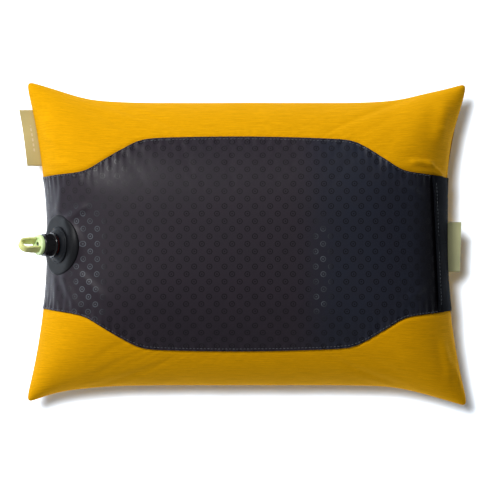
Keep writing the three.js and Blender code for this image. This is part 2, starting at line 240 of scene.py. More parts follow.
class ArcTable:
    """Turns a share of the way along a crowned profile, by length, into its plan share."""

    def __init__(self, half, rise, power):
        self.levels = np.linspace(0, 1, 25)
        self.plan = np.sin(np.linspace(0, math.pi / 2, 200))
        self.arcs = []
        for level in self.levels:
            x = self.plan * half
            z = rise * level * swell(self.plan, power)
            steps = np.hypot(np.diff(x), np.diff(z))
            arc = np.concatenate([[0], np.cumsum(steps)])
            self.arcs.append(arc / arc[-1])
        self.total = arc[-1]
        self.arcs = np.array(self.arcs)

    def _mix(self, level, pick):
        spot = np.clip(level, 0, 1) * (len(self.levels) - 1)
        low = np.minimum(spot.astype(int), len(self.levels) - 2)
        share = spot - low
        values = np.array([pick(k) for k in range(len(self.levels))])
        flat = np.arange(level.size)
        rows = values.reshape(len(self.levels), -1)
        low, share = low.ravel(), share.ravel()
        mixed = rows[low, flat] * (1 - share) + rows[low + 1, flat] * share
        return mixed.reshape(level.shape)

    def to_plan(self, arc, level):
        size = np.abs(arc)
        found = self._mix(level, lambda k: np.interp(size, self.arcs[k], self.plan))
        return np.sign(arc) * found

    def to_arc(self, plan, level):
        size = np.abs(plan)
        found = self._mix(level, lambda k: np.interp(size, self.plan, self.arcs[k]))
        return np.sign(plan) * found


ALONG = ArcTable(HALF_LENGTH - SIDE_PULL, BACK_RISE, CROWN_X)
ACROSS = ArcTable(HALF_WIDTH - EDGE_PULL, BACK_RISE, CROWN_Y)


def cover_grid():
    """Plan shares s, t and cut coordinates u, v of the cover's mesh, with rows along the seams."""
    along = np.linspace(-1, 1, COLUMNS + 1)[:, None] * np.ones((1, ROWS + 1))
    wing = np.concatenate([[0.0], np.linspace(0.03, 1, WING_ROWS)])
    rim = STITCH_INSET / 0.080
    panel = np.concatenate([[-1], np.linspace(-1 + rim, 1 - rim, PANEL_ROWS - 1), [1]])
    low, high = slice(0, LOW_SEAM + 1), slice(HIGH_SEAM, ROWS + 1)
    middle = slice(LOW_SEAM, HIGH_SEAM + 1)
    s, t = along.copy(), np.zeros_like(along)
    across = np.zeros_like(along)
    for _ in range(6):
        seam_t = panel_half(plan_point(s, t)[0]) / half_width_at(s)
        level = swell(s, CROWN_X)
        seam = ACROSS.to_arc(seam_t, level)
        across[:, low] = -(seam[:, low] + (1 - seam[:, low]) * wing[::-1])
        across[:, middle] = seam[:, middle] * panel
        across[:, high] = seam[:, high] + (1 - seam[:, high]) * wing
        t = ACROSS.to_plan(across, level)
        s = ALONG.to_plan(along, swell(t, CROWN_Y))
    trim = CORNER_TRIM * np.abs(along * across) ** BEND_CORNER
    u = along * ALONG.total - np.sign(along) * trim
    v = across * ACROSS.total - np.sign(across) * trim
    return s, t, u, v


# ------------------------------------------------------------------ cloth


def mesh_object(name, bm):
    """Makes an object of a bmesh, and frees the bmesh."""
    mesh = bpy.data.meshes.new(name)
    bm.to_mesh(mesh)
    bm.free()
    obj = bpy.data.objects.new(name, mesh)
    bpy.context.scene.collection.objects.link(obj)
    return obj


def grid_object(name, points, uv=None):
    """A mesh grid of points[i, j], from a bmesh grid, with a cut-coordinate UV map."""
    ni, nj = points.shape[:2]
    bm = bmesh.new()
    bmesh.ops.create_grid(bm, x_segments=ni - 1, y_segments=nj - 1, size=1.0)
    order = sorted(bm.verts, key=lambda v: (round(v.co.x, 5), round(v.co.y, 5)))
    for k, vert in enumerate(order):
        vert.co = points[k // nj, k % nj]
        vert.index = k
    if uv is not None:
        layer = bm.loops.layers.uv.new("cloth")
        for face in bm.faces:
            for loop in face.loops:
                k = loop.vert.index
                loop[layer].uv = uv[k // nj, k % nj]
    return mesh_object(name, bm)


def settle_cover(start, cut, hold, seams, cover):
    """Lets the sewn cloth shell, start[side, i, j], settle from its cut size. Returns its points."""
    ni, nj = start.shape[1:3]
    bm = bmesh.new()
    bmesh.ops.create_grid(bm, x_segments=ni - 1, y_segments=nj - 1, size=1.0)
    tag = bm.verts.layers.int.new("place")
    order = sorted(bm.verts, key=lambda v: (round(v.co.x, 5), round(v.co.y, 5)))
    for k, vert in enumerate(order):
        vert[tag] = k
    copy = bmesh.ops.duplicate(bm, geom=bm.verts[:] + bm.edges[:] + bm.faces[:])
    twins = [g for g in copy["geom"] if isinstance(g, bmesh.types.BMVert)]
    for vert in twins:
        vert[tag] += ni * nj
    bmesh.ops.reverse_faces(bm, faces=[g for g in copy["geom"] if isinstance(g, bmesh.types.BMFace)])
    back = {v[tag]: v for v in bm.verts if v[tag] < ni * nj}
    sewn = {}
    for vert in twins:
        k = vert[tag] - ni * nj
        if k // nj in (0, ni - 1) or k % nj in (0, nj - 1):
            sewn[vert] = back[k]
    bmesh.ops.weld_verts(bm, targetmap=sewn)
    bm.verts.index_update()
    places = np.array([v[tag] for v in bm.verts])
    obj = mesh_object("settling", bm)
    flat_start = start.reshape(-1, 3)[places]
    obj.data.vertices.foreach_set("co", flat_start.astype(np.float32).ravel())
    obj.shape_key_add(name="Basis")
    key = obj.shape_key_add(name="cut")
    key.data.foreach_set("co", cut.reshape(-1, 3)[places].astype(np.float32).ravel())
    key.value = 0.0
    for name, weights in (("hold", hold), ("seams", seams)):
        group = obj.vertex_groups.new(name=name)
        for index, weight in enumerate(weights.reshape(-1)[places]):
            if weight > 0:
                group.add([index], float(weight), "REPLACE")
    cloth = obj.modifiers.new("Cloth", "CLOTH")
    st = cloth.settings
    st.quality = 6
    st.mass = 0.05
    st.tension_stiffness = 30
    st.compression_stiffness = 30
    st.shear_stiffness = 12
    st.bending_stiffness = cover.stiffness
    st.tension_damping = 8
    st.compression_damping = 8
    st.shear_damping = 8
    st.bending_damping = 0.5
    st.air_damping = 2
    st.effector_weights.gravity = 0
    st.use_pressure = True
    st.uniform_pressure_force = cover.pressure
    st.vertex_group_mass = "hold"
    st.pin_stiffness = 1
    st.vertex_group_shrink = "seams"
    st.shrink_min = 0
    st.shrink_max = cover.pucker
    st.rest_shape_key = key
    cloth.collision_settings.use_collision = False
    cloth.collision_settings.use_self_collision = False
    cloth.point_cache.frame_start = 1
    cloth.point_cache.frame_end = cover.settle_frames
    scene = bpy.context.scene
    for number in range(1, cover.settle_frames + 1):
        scene.frame_set(number)
    evaluated = obj.evaluated_get(bpy.context.evaluated_depsgraph_get())
    settled = np.empty(len(evaluated.data.vertices) * 3, np.float32)
    evaluated.data.vertices.foreach_get("co", settled)
    settled = settled.reshape(-1, 3).astype(float)
    bpy.data.objects.remove(obj)
    scene.frame_set(1)
    points = start.reshape(-1, 3).copy()
    points[places] = settled
    points = points.reshape(start.shape)
    points[1, 0], points[1, -1] = points[0, 0], points[0, -1]
    points[1, :, 0], points[1, :, -1] = points[0, :, 0], points[0, :, -1]
    return points


def ease(value):
    value = np.clip(value, 0, 1)
    return value * value * (3 - 2 * value)


def valve_local(points):
    """Distance from the valve's axis and height along it."""
    offset = points - np.array(VALVE_FOOT)
    height = offset @ np.array(VALVE_AXIS)
    radius = np.linalg.norm(offset - height[..., None] * np.array(VALVE_AXIS), axis=-1)
    return radius, height


def press_under_patch(points, sunk=0.0008):
    """Lays the cloth flat where the valve's round patch is welded to it."""
    radius, height = valve_local(points)
    near = ease((0.029 - radius) / 0.009) * (np.abs(height) < 0.02)
    shift = near * (-sunk - height)
    return points + shift[..., None] * np.array(VALVE_AXIS)


def grid_normals(points):
    along = np.gradient(points, axis=0)
    across = np.gradient(points, axis=1)
    normal = np.cross(along, across)
    return normal / np.maximum(np.linalg.norm(normal, axis=-1, keepdims=True), 1e-12)


def sample(values, spots):
    """Cubic interpolation of values[k] at fractional places k."""
    cells = len(values) - 1
    low = np.clip(spots.astype(int), 0, cells - 1)
    share = (spots - low).reshape(-1, *[1] * (values.ndim - 1))
    first = 2 * values[0] - values[1]
    last = 2 * values[-1] - values[-2]
    padded = np.concatenate([first[None], values, last[None]])
    p0, p1, p2, p3 = (padded[low + k] for k in range(4))
    return 0.5 * (
        2 * p1
        + (p2 - p0) * share
        + (2 * p0 - 5 * p1 + 4 * p2 - p3) * share**2
        + (3 * p1 - p0 - 3 * p2 + p3) * share**3
    )


def finer(values, factor, axis):
    """Cubic resampling of grid values to factor times as many cells along an axis."""
    values = np.moveaxis(values, axis, 0)
    cells = len(values) - 1
    return np.moveaxis(sample(values, np.linspace(0, cells, cells * factor + 1)), 0, axis)


def fine_grid(values, factor=2):
    return finer(finer(values, factor, 0), factor, 1)


def settled_cover(cover):
    """Points of the back and the front of the cover, and the cut coordinates of its mesh."""
    s, t, u, v = cover_grid()
    back = press_under_patch(surface(s, t, 1))
    front = surface(s, t, -1)
    start = np.stack([back, front])
    edge = np.maximum(np.abs(s), np.abs(t)) ** 24
    wave = np.sin(s * 9 + 1.3) * np.cos(t * 7 - 0.6) + 0.5 * np.sin(s * 21 - t * 17)
    start[..., 2] += 0.0012 * wave * edge
    thick = 0.004 * swell(s, 2) * swell(t, 2)
    cut = np.stack([np.stack([u, v, thick], -1), np.stack([u, v, -thick], -1)])
    radius, _ = valve_local(back)
    hold = np.stack([(radius < 0.0205) * 1.0, (front[..., 2] < 1e-5) * 1.0])
    hold[:, [0, -1], :] = 1
    hold[:, :, [0, -1]] = 1
    seams = np.zeros_like(hold)
    seams[0, :, [LOW_SEAM, HIGH_SEAM]] = 1
    points = settle_cover(start, cut, hold, seams, cover)
    move = points - start
    far = np.linalg.norm(move, axis=-1, keepdims=True)
    move = calmed(move * np.minimum(1, 0.010 / np.maximum(far, 1e-9)), v)
    points = start + move
    points[1, ..., 2] = np.maximum(points[1, ..., 2], 0.0004)
    points = skewed(points)
    return points[0], points[1], np.stack([u, v], -1)


def calmed(move, v):
    """Evens out what the cloth did away from its seams, where an air core holds it taut."""
    even = move.copy()
    for _ in range(40):
        inner = even[:, :-2, 1:-1] + even[:, 2:, 1:-1] + even[:, 1:-1, :-2] + even[:, 1:-1, 2:]
        even[:, 1:-1, 1:-1] = 0.5 * even[:, 1:-1, 1:-1] + 0.125 * inner
    away = np.minimum(np.abs(v - v[:, [LOW_SEAM]]), np.abs(v - v[:, [HIGH_SEAM]]))
    rows = np.arange(v.shape[1])[None, :]
    panel = (rows >= LOW_SEAM) & (rows <= HIGH_SEAM)
    share = np.where(panel, 0.85 * ease(away / 0.014), 0.5 * ease(away / 0.006))[..., None]
    return move + (even - move) * share


def skewed(points):
    """Draws the outline a little out of true, as a hand-sewn cover is."""
    x, y = points[..., 0], points[..., 1]
    share = y / 0.135
    right, left = ease((x - 0.09) / 0.08), ease((-x - 0.13) / 0.05)
    shift = np.zeros_like(points)
    shift[..., 0] = -0.0036 * right * np.exp(-(((y - 0.078) / 0.040) ** 2)) - 0.0010 * right
    shift[..., 1] = 0.0026 * share * np.exp(-(((x - 0.158) / 0.024) ** 2))
    shift[..., 1] += 0.0024 * share * np.exp(-(((x + 0.165) / 0.024) ** 2)) * (y > 0)
    shift[..., 1] += 0.0014 * left * np.abs(share)
    shift[..., 1] -= 0.0014 * ease((x - 0.15) / 0.03) * (y < 0) * np.abs(share)
    return points + shift


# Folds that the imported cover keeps: start and end in plan, height and half width.
CREASES = (
    ((0.137, 0.0700), (0.161, 0.0690), 0.0029, 0.0022),
    ((0.152, 0.0705), (0.170, 0.0560), 0.0024, 0.0022),
    ((0.171, 0.126), (0.162, 0.082), 0.0018, 0.0060),
    ((0.158, 0.099), (0.178, 0.097), 0.0008, 0.0020),
    ((0.166, -0.080), (0.176, -0.118), 0.0016, 0.0034),
    ((0.176, -0.100), (0.184, -0.124), 0.0012, 0.0022),
    ((-0.176, 0.095), (-0.160, 0.084), 0.0009, 0.0024),
    ((-0.173, 0.068), (-0.152, 0.070), 0.0007, 0.0020),
    ((-0.150, -0.020), (-0.116, -0.052), 0.0008, 0.0040),
    ((-0.160, -0.024), (-0.143, -0.060), 0.0011, 0.0034),
    ((-0.166, -0.022), (-0.163, -0.056), 0.0008, 0.0028),
    ((-0.158, 0.018), (-0.135, 0.034), 0.0010, 0.0030),
    ((-0.163, 0.022), (-0.158, 0.052), 0.0007, 0.0030),
    ((0.128, 0.052), (0.150, 0.040), 0.0008, 0.0030),
    ((0.132, -0.050), (0.152, -0.036), 0.0008, 0.0030),
)


def creased(points, start, end, height, width):
    """Raises a soft ridge between two places in plan, with a shallow ditch at each side."""
    start, run = np.array(start), np.subtract(end, start)
    offset = points[..., :2] - start
    along = np.clip((offset @ run) / (run @ run), 0, 1)
    away = np.linalg.norm(offset - along[..., None] * run, axis=-1) / width
    fade = ease(np.minimum(along, 1 - along) * 3 + 0.15)
    ridge = height * fade * (1 - 0.5 * away**2) * np.exp(-0.5 * away**2)
    return points + grid_normals(points) * ridge[..., None]


def folded(points):
    for crease in CREASES:
        points = creased(points, *crease)
    return points


# ------------------------------------------------------------------ mesh helpers


def finish_mesh(obj, body, material, replaces=(), smooth=True):
    """Gives a piece its material, its shading, its body and the CAD nodes it stands for."""
    if material is not None:
        obj.data.materials.append(material)
    obj.data.polygons.foreach_set("use_smooth", [smooth] * len(obj.data.polygons))
    if body:
        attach(obj, body)
    if replaces:
        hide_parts(*replaces)
    return obj


def thicken(obj, thickness, offset=-1.0):
    wall = obj.modifiers.new("Thickness", "SOLIDIFY")
    wall.thickness = thickness
    wall.offset = offset
    wall.use_even_offset = False
    return obj


def swept(name, rings, uv=None):
    """A closed tube through rings[i, j], whose sections close on themselves, with filled ends."""
    closed = np.concatenate([rings, rings[:, :1]], 1)
    obj = grid_object(name, closed, uv)
    bm = bmesh.new()
    bm.from_mesh(obj.data)
    bmesh.ops.remove_doubles(bm, verts=bm.verts, dist=1e-7)
    bmesh.ops.holes_fill(bm, edges=[e for e in bm.edges if e.is_boundary], sides=0)
    bmesh.ops.recalc_face_normals(bm, faces=bm.faces)
    bm.to_mesh(obj.data)
    bm.free()
    return obj


def turned(profile, steps=64):
    """A bmesh turned about Z from a closed profile of (radius, height) points."""
    bm = bmesh.new()
    verts = [bm.verts.new((r, 0, h)) for r, h in profile]
    edges = [bm.edges.new((a, b)) for a, b in zip(verts, verts[1:] + verts[:1])]
    bmesh.ops.spin(
        bm,
        geom=verts + edges,
        cent=(0, 0, 0),
        axis=(0, 0, 1),
        angle=2 * math.pi,
        steps=steps,
        use_merge=True,
        use_duplicate=False,
    )
    bmesh.ops.remove_doubles(bm, verts=bm.verts, dist=1e-7)
    bmesh.ops.recalc_face_normals(bm, faces=bm.faces)
    return bm


def rounded_profile(corners, radius, arc=4):
    """A closed profile whose corners are rounded, from (x, y) points."""
    points = [Vector(c) for c in corners]
    rounded = []
    for k, corner in enumerate(points):
        before, after = points[k - 1] - corner, points[(k + 1) % len(points)] - corner
        cut = min(radius, before.length * 0.45, after.length * 0.45)
        first, last = corner + before.normalized() * cut, corner + after.normalized() * cut
        for step in range(arc + 1):
            f = step / arc
            rounded.append(first.lerp(corner, f).lerp(corner.lerp(last, f), f)[:])
    return rounded


# ------------------------------------------------------------------ materials


def new_group(name, inputs, outputs):
    """An empty shader node group with its sockets: (tree, input node, output node)."""
    tree = bpy.data.node_groups.new(name, "ShaderNodeTree")
    for label, kind, value in inputs:
        socket = tree.interface.new_socket(label, in_out="INPUT", socket_type=kind)
        if value is not None:
            socket.default_value = value
    for label, kind in outputs:
        tree.interface.new_socket(label, in_out="OUTPUT", socket_type=kind)
    return tree, tree.nodes.new("NodeGroupInput"), tree.nodes.new("NodeGroupOutput")


class Nodes:
    """Adds and wires shader nodes in a tree with few words."""

    def __init__(self, tree):
        self.tree = tree

    def wire(self, value, socket):
        if isinstance(value, bpy.types.NodeSocket):
            self.tree.links.new(value, socket)
        elif value is not None:
            socket.default_value = value

    def math(self, operation, a, b=None, c=None):
        node = self.tree.nodes.new("ShaderNodeMath")
        node.operation = operation
        for value, socket in zip((a, b, c), node.inputs):
            self.wire(value, socket)
        return node.outputs[0]

    def vector(self, operation, a, b=None, out="Vector"):
        node = self.tree.nodes.new("ShaderNodeVectorMath")
        node.operation = operation
        self.wire(a, node.inputs[0])
        if operation == "SCALE":
            self.wire(b, node.inputs["Scale"])
        elif b is not None:
            self.wire(b, node.inputs[1])
        return node.outputs[out]

    def split(self, value):
        node = self.tree.nodes.new("ShaderNodeSeparateXYZ")
        self.wire(value, node.inputs[0])
        return node.outputs

    def noise(self, vector, scale, detail=2.0, roughness=0.5):
        node = self.tree.nodes.new("ShaderNodeTexNoise")
        self.wire(vector, node.inputs["Vector"])
        self.wire(scale, node.inputs["Scale"])
        node.inputs["Detail"].default_value = detail
        node.inputs["Roughness"].default_value = roughness
        return node.outputs[0]

    def ramp(self, value, low, high, to_low=0.0, to_high=1.0):
        node = self.tree.nodes.new("ShaderNodeMapRange")
        node.interpolation_type = "SMOOTHSTEP"
        for number, item in enumerate((value, low, high, to_low, to_high)):
            self.wire(item, node.inputs[number])
        return node.outputs[0]

    def mix(self, share, a, b):
        node = self.tree.nodes.new("ShaderNodeMix")
        node.data_type = "RGBA"
        self.wire(share, node.inputs[0])
        self.wire(a if isinstance(a, bpy.types.NodeSocket) else (*a, 1), node.inputs[6])
        self.wire(b if isinstance(b, bpy.types.NodeSocket) else (*b, 1), node.inputs[7])
        return node.outputs[2]

    def group(self, tree, **values):
        node = self.tree.nodes.new("ShaderNodeGroup")
        node.node_tree = tree
        for label, value in values.items():
            self.wire(value, node.inputs[label])
        return node.outputs

    def bump(self, height, strength, distance):
        node = self.tree.nodes.new("ShaderNodeBump")
        self.wire(height, node.inputs["Height"])
        node.inputs["Strength"].default_value = strength
        node.inputs["Distance"].default_value = distance
        return node.outputs[0]

    def coordinates(self, kind):
        return self.tree.nodes.new("ShaderNodeTexCoord").outputs[kind]


def shared(name, build):
    """A node group that is built once."""
    return bpy.data.node_groups.get(name) or build(name)


def build_slub(name):
    """Fine uneven yarns that run along U, as on brushed polyester."""
    tree, given, out = new_group(
        name,
        [("Vector", "NodeSocketVector", None)],
        [("Tone", "NodeSocketFloat"), ("Height", "NodeSocketFloat")],
    )
    n = Nodes(tree)
    long = n.noise(n.vector("MULTIPLY", given.outputs[0], (48, 1500, 0)), 1.0, 2.0, 0.6)
    short = n.noise(n.vector("MULTIPLY", given.outputs[0], (210, 2600, 0)), 1.0, 2.0, 0.5)
    tone = n.math("ADD", n.math("MULTIPLY", long, 0.62), n.math("MULTIPLY", short, 0.38))
    n.wire(n.ramp(tone, 0.36, 0.64), out.inputs["Tone"])
    yarn = n.math("SINE", n.math("MULTIPLY", n.split(given.outputs[0])[1], 2 * math.pi / 0.0007))
    n.wire(n.math("ADD", n.math("MULTIPLY", yarn, 0.12), tone), out.inputs["Height"])
    return tree


def build_weave(name):
    """A plain weave: a chequer of rounded threads at a given pitch."""
    tree, given, out = new_group(
        name,
        [("Vector", "NodeSocketVector", None), ("Pitch", "NodeSocketFloat", 0.0006)],
        [("Height", "NodeSocketFloat")],
    )
    n = Nodes(tree)
    turn = n.math("DIVIDE", math.pi, given.outputs[1])
    parts = n.split(given.outputs[0])
    waves = [n.math("SINE", n.math("MULTIPLY", parts[k], turn)) for k in (0, 1)]
    n.wire(n.math("MULTIPLY_ADD", n.math("MULTIPLY", *waves), 0.5, 0.5), out.inputs[0])
    return tree


def build_rings(name):
    """Small rings with a dot, printed in rows that are shifted by half a pitch."""
    tree, given, out = new_group(
        name,
        [("Vector", "NodeSocketVector", None), ("Pitch", "NodeSocketFloat", 0.0128)],
        [("Mask", "NodeSocketFloat")],
    )
    n = Nodes(tree)
    share = n.math("DIVIDE", 1.0, given.outputs[1])
    cells = n.vector("SCALE", given.outputs[0], share)
    masks = []
    for shift in ((0, 0, 0), (0.5, 0.5, 0)):
        local = n.vector("FRACTION", n.vector("ADD", cells, shift))
        local = n.vector("MULTIPLY", n.vector("SUBTRACT", local, (0.5, 0.5, 0)), (1, 1, 0))
        away = n.vector("LENGTH", local, out="Value")
        ring = n.ramp(n.math("ABSOLUTE", n.math("SUBTRACT", away, 0.165)), 0.020, 0.040, 1, 0)
        dot = n.ramp(away, 0.042, 0.064, 1, 0)
        masks.append(n.math("MAXIMUM", ring, dot))
    n.wire(n.math("MAXIMUM", *masks), out.inputs[0])
    return tree


def build_mottle(name):
    """Broad soft unevenness."""
    tree, given, out = new_group(
        name,
        [("Vector", "NodeSocketVector", None), ("Scale", "NodeSocketFloat", 20.0)],
        [("Tone", "NodeSocketFloat")],
    )
    n = Nodes(tree)
    n.wire(n.ramp(n.noise(given.outputs[0], given.outputs[1], 4.0, 0.55), 0.3, 0.7), out.inputs[0])
    return tree


def new_material(name):
    material = bpy.data.materials.new(name)
    material.use_nodes = True
    shader = material.node_tree.nodes["Principled BSDF"]
    return material, Nodes(material.node_tree), shader.inputs


def shade(color, factor):
    return tuple(min(1.0, c * factor) for c in color)


def mustard_material(color):
    material, n, skin = new_material("brushed mustard polyester")
    cloth = n.coordinates("UV")
    slub = n.group(shared("Slub yarns", build_slub), Vector=cloth)
    mottle = n.group(shared("Soft mottle", build_mottle), Vector=cloth, Scale=30.0)
    tone = n.mix(slub["Tone"], shade(color, 0.86), shade(color, 1.11))
    n.wire(n.mix(n.math("MULTIPLY", mottle[0], 0.25), tone, shade(color, 0.88)), skin["Base Color"])
    n.wire(n.ramp(slub["Tone"], 0.0, 1.0, 0.86, 0.74), skin["Roughness"])
    skin["Sheen Weight"].default_value = 0.05
    skin["Sheen Roughness"].default_value = 0.4
    skin["Sheen Tint"].default_value = (*color, 1)
    skin["Specular IOR Level"].default_value = 0.02
    n.wire(n.bump(slub["Height"], 0.5, 0.00012), skin["Normal"])
    return material


def charcoal_material(
    color, pitch, name="coated charcoal polyester", printed=True, gloss=0.13, rough=0.40
):
    """Coated cloth that turns from a warm to a cool tone along X, plain or printed. The printed cloth has
    painted highlights on its print and painted shade towards the flap.
    """
    material, n, skin = new_material(name)
    cloth = n.coordinates("UV")
    weave = n.group(shared("Plain weave", build_weave), Vector=cloth, Pitch=0.0005)
    mottle = n.group(shared("Soft mottle", build_mottle), Vector=cloth, Scale=45.0)
    warm = (color[0] * 1.10, color[1], color[2] * 0.94)
    cool = (color[0] * 0.72, color[1] * 0.98, color[2] * 1.08)
    turn = n.ramp(n.split(n.coordinates("Object"))[0], 0.035, 0.080)
    tint = n.mix(turn, warm, cool)
    ground = n.mix(n.math("MULTIPLY", mottle[0], 0.3), tint, shade(color, 0.6))
    rough = n.ramp(mottle[0], 0, 1, rough, rough + 0.07)
    if printed:
        rings = n.group(shared("Printed rings", build_rings), Vector=cloth, Pitch=pitch)
        # Painted highlight: in two fixed areas of the panel the print is painted lighter, where light
        # glints on it.
        here = n.split(n.coordinates("Object"))
        glints = []
        for low, high, bottom, top in ((-0.157, -0.118, -0.075, 0.045), (0.050, 0.074, -0.070, 0.030)):
            starts, ends = n.ramp(here[0], low, low + 0.014), n.ramp(here[0], high - 0.012, high, 1, 0)
            rises, falls = n.ramp(here[1], bottom, bottom + 0.02), n.ramp(here[1], top - 0.03, top, 1, 0)
            wide, tall = n.math("MULTIPLY", starts, ends), n.math("MULTIPLY", rises, falls)
            glints.append(n.math("MULTIPLY", wide, tall))
        patchy = n.ramp(n.noise(cloth, 70.0, 2.0), 0.35, 0.6)
        glint = n.math("MULTIPLY", n.math("MAXIMUM", *glints), n.math("MULTIPLY_ADD", patchy, 0.5, 0.5))
        print_ink_with_painted_glint = n.mix(glint, shade(color, 0.12), (0.075, 0.085, 0.10))
        ground = n.mix(n.math("MULTIPLY", rings[0], 0.8), ground, print_ink_with_painted_glint)
        rough = n.math("SUBTRACT", rough, n.math("MULTIPLY", rings[0], 0.10))
        n.wire(n.math("MULTIPLY", rings[0], 0.12), skin["Coat Weight"])
        skin["Coat Roughness"].default_value = 0.35
        # Painted shade: the cloth towards the flap is painted darker and its specular level is lowered,
        # standing in for the shade beside the flap.
        painted_flap_shade = n.ramp(n.split(cloth)[0], 0.138, 0.166)
        ground = n.mix(painted_flap_shade, ground, shade(color, 0.2))
        gloss = n.math("MULTIPLY_ADD", painted_flap_shade, -0.8 * gloss, gloss)
        n.wire(gloss, skin["Specular IOR Level"])
    else:
        skin["Specular IOR Level"].default_value = gloss
    n.wire(ground, skin["Base Color"])
    n.wire(rough, skin["Roughness"])
    fine = n.noise(cloth, 900.0, 2.0)
    height = n.math("ADD", n.math("MULTIPLY", weave[0], 0.5), n.math("MULTIPLY", fine, 0.5))
    n.wire(n.bump(height, 0.25, 0.00008), skin["Normal"])
    return material


def thread_material(color):
    material, n, skin = new_material("sewing thread")
    here = n.coordinates("Object")
    twist = n.noise(here, 2500.0, 1.0)
    n.wire(n.mix(twist, shade(color, 0.7), shade(color, 1.35)), skin["Base Color"])
    skin["Roughness"].default_value = 0.55
    return material


def ribbon_material(name, color, dashes=None):
    material, n, skin = new_material(name)
    cloth = n.coordinates("UV")
    weave = n.group(shared("Plain weave", build_weave), Vector=cloth, Pitch=0.0007)
    mottle = n.group(shared("Soft mottle", build_mottle), Vector=cloth, Scale=60.0)
    tone = n.mix(weave[0], shade(color, 0.82), shade(color, 1.1))
    tone = n.mix(n.math("MULTIPLY", mottle[0], 0.4), tone, shade(color, 0.8))
    if dashes:
        parts = n.split(cloth)
        run = n.math("FRACT", n.math("DIVIDE", parts[0], dashes["pitch"]))
        bar = n.ramp(n.math("ABSOLUTE", n.math("SUBTRACT", run, 0.5)), 0.26, 0.32, 1, 0)
        low, high = dashes["span"]
        bar = n.math("MULTIPLY", bar, n.ramp(parts[0], low, low + 0.0004))
        bar = n.math("MULTIPLY", bar, n.ramp(parts[0], high, high + 0.0004, 1, 0))
        line = n.math("ABSOLUTE", n.math("SUBTRACT", parts[1], dashes["row"]))
        bar = n.math("MULTIPLY", bar, n.ramp(line, 0.0004, 0.0008, 1, 0))
        tone = n.mix(n.math("MULTIPLY", bar, 0.45), tone, dashes["color"])
    n.wire(tone, skin["Base Color"])
    skin["Roughness"].default_value = 0.72
    skin["Sheen Weight"].default_value = 0.1
    n.wire(n.bump(weave[0], 0.5, 0.0001), skin["Normal"])
    return material


def moulded_material(name, color, roughness, grain=0.15, coat=0.0, soft=0.0, gloss=0.5):
    """Moulded plastic or rubber with a fine grain and slight unevenness."""
    material, n, skin = new_material(name)
    here = n.coordinates("Object")
    mottle = n.group(shared("Soft mottle", build_mottle), Vector=here, Scale=220.0)
    n.wire(n.mix(mottle[0], shade(color, 0.92), shade(color, 1.06)), skin["Base Color"])
    n.wire(n.ramp(mottle[0], 0, 1, roughness * 0.85, roughness * 1.15), skin["Roughness"])
    skin["Specular IOR Level"].default_value = gloss
    skin["Coat Weight"].default_value = coat
    skin["Coat Roughness"].default_value = 0.08
    skin["Subsurface Weight"].default_value = soft
    skin["Subsurface Radius"].default_value = (0.002, 0.002, 0.001)
    n.wire(n.bump(n.noise(here, 3500.0, 2.0), grain, 0.00005), skin["Normal"])
    return material


# ------------------------------------------------------------------ cover pieces

FLAP_LINE = 0.1605
FLAP_SLANT = -0.0473
FLAP_COVERS = 0.010
made = {}


def lifted(points, normals, amount):
    return points + normals * amount[..., None]


def seam_distance(uv, row):
    """Distance of every fine grid point from the seam at a row, in the cut."""
    return np.abs(uv[..., 1] - uv[:, row, 1][:, None])


def flap_spots(back, beyond=0.0):
    """Fractional column of the flap's free edge, for each row."""
    rows = []
    for j in range(back.shape[1]):
        x, y = back[:, j, 0], back[:, j, 1]
        ahead = x - (FLAP_LINE + FLAP_SLANT * y + beyond)
        k = int(np.argmax((ahead > 0) & (x > 0.1)))
        rows.append(k - ahead[k] / (ahead[k] - ahead[k - 1]))
    return np.array(rows)


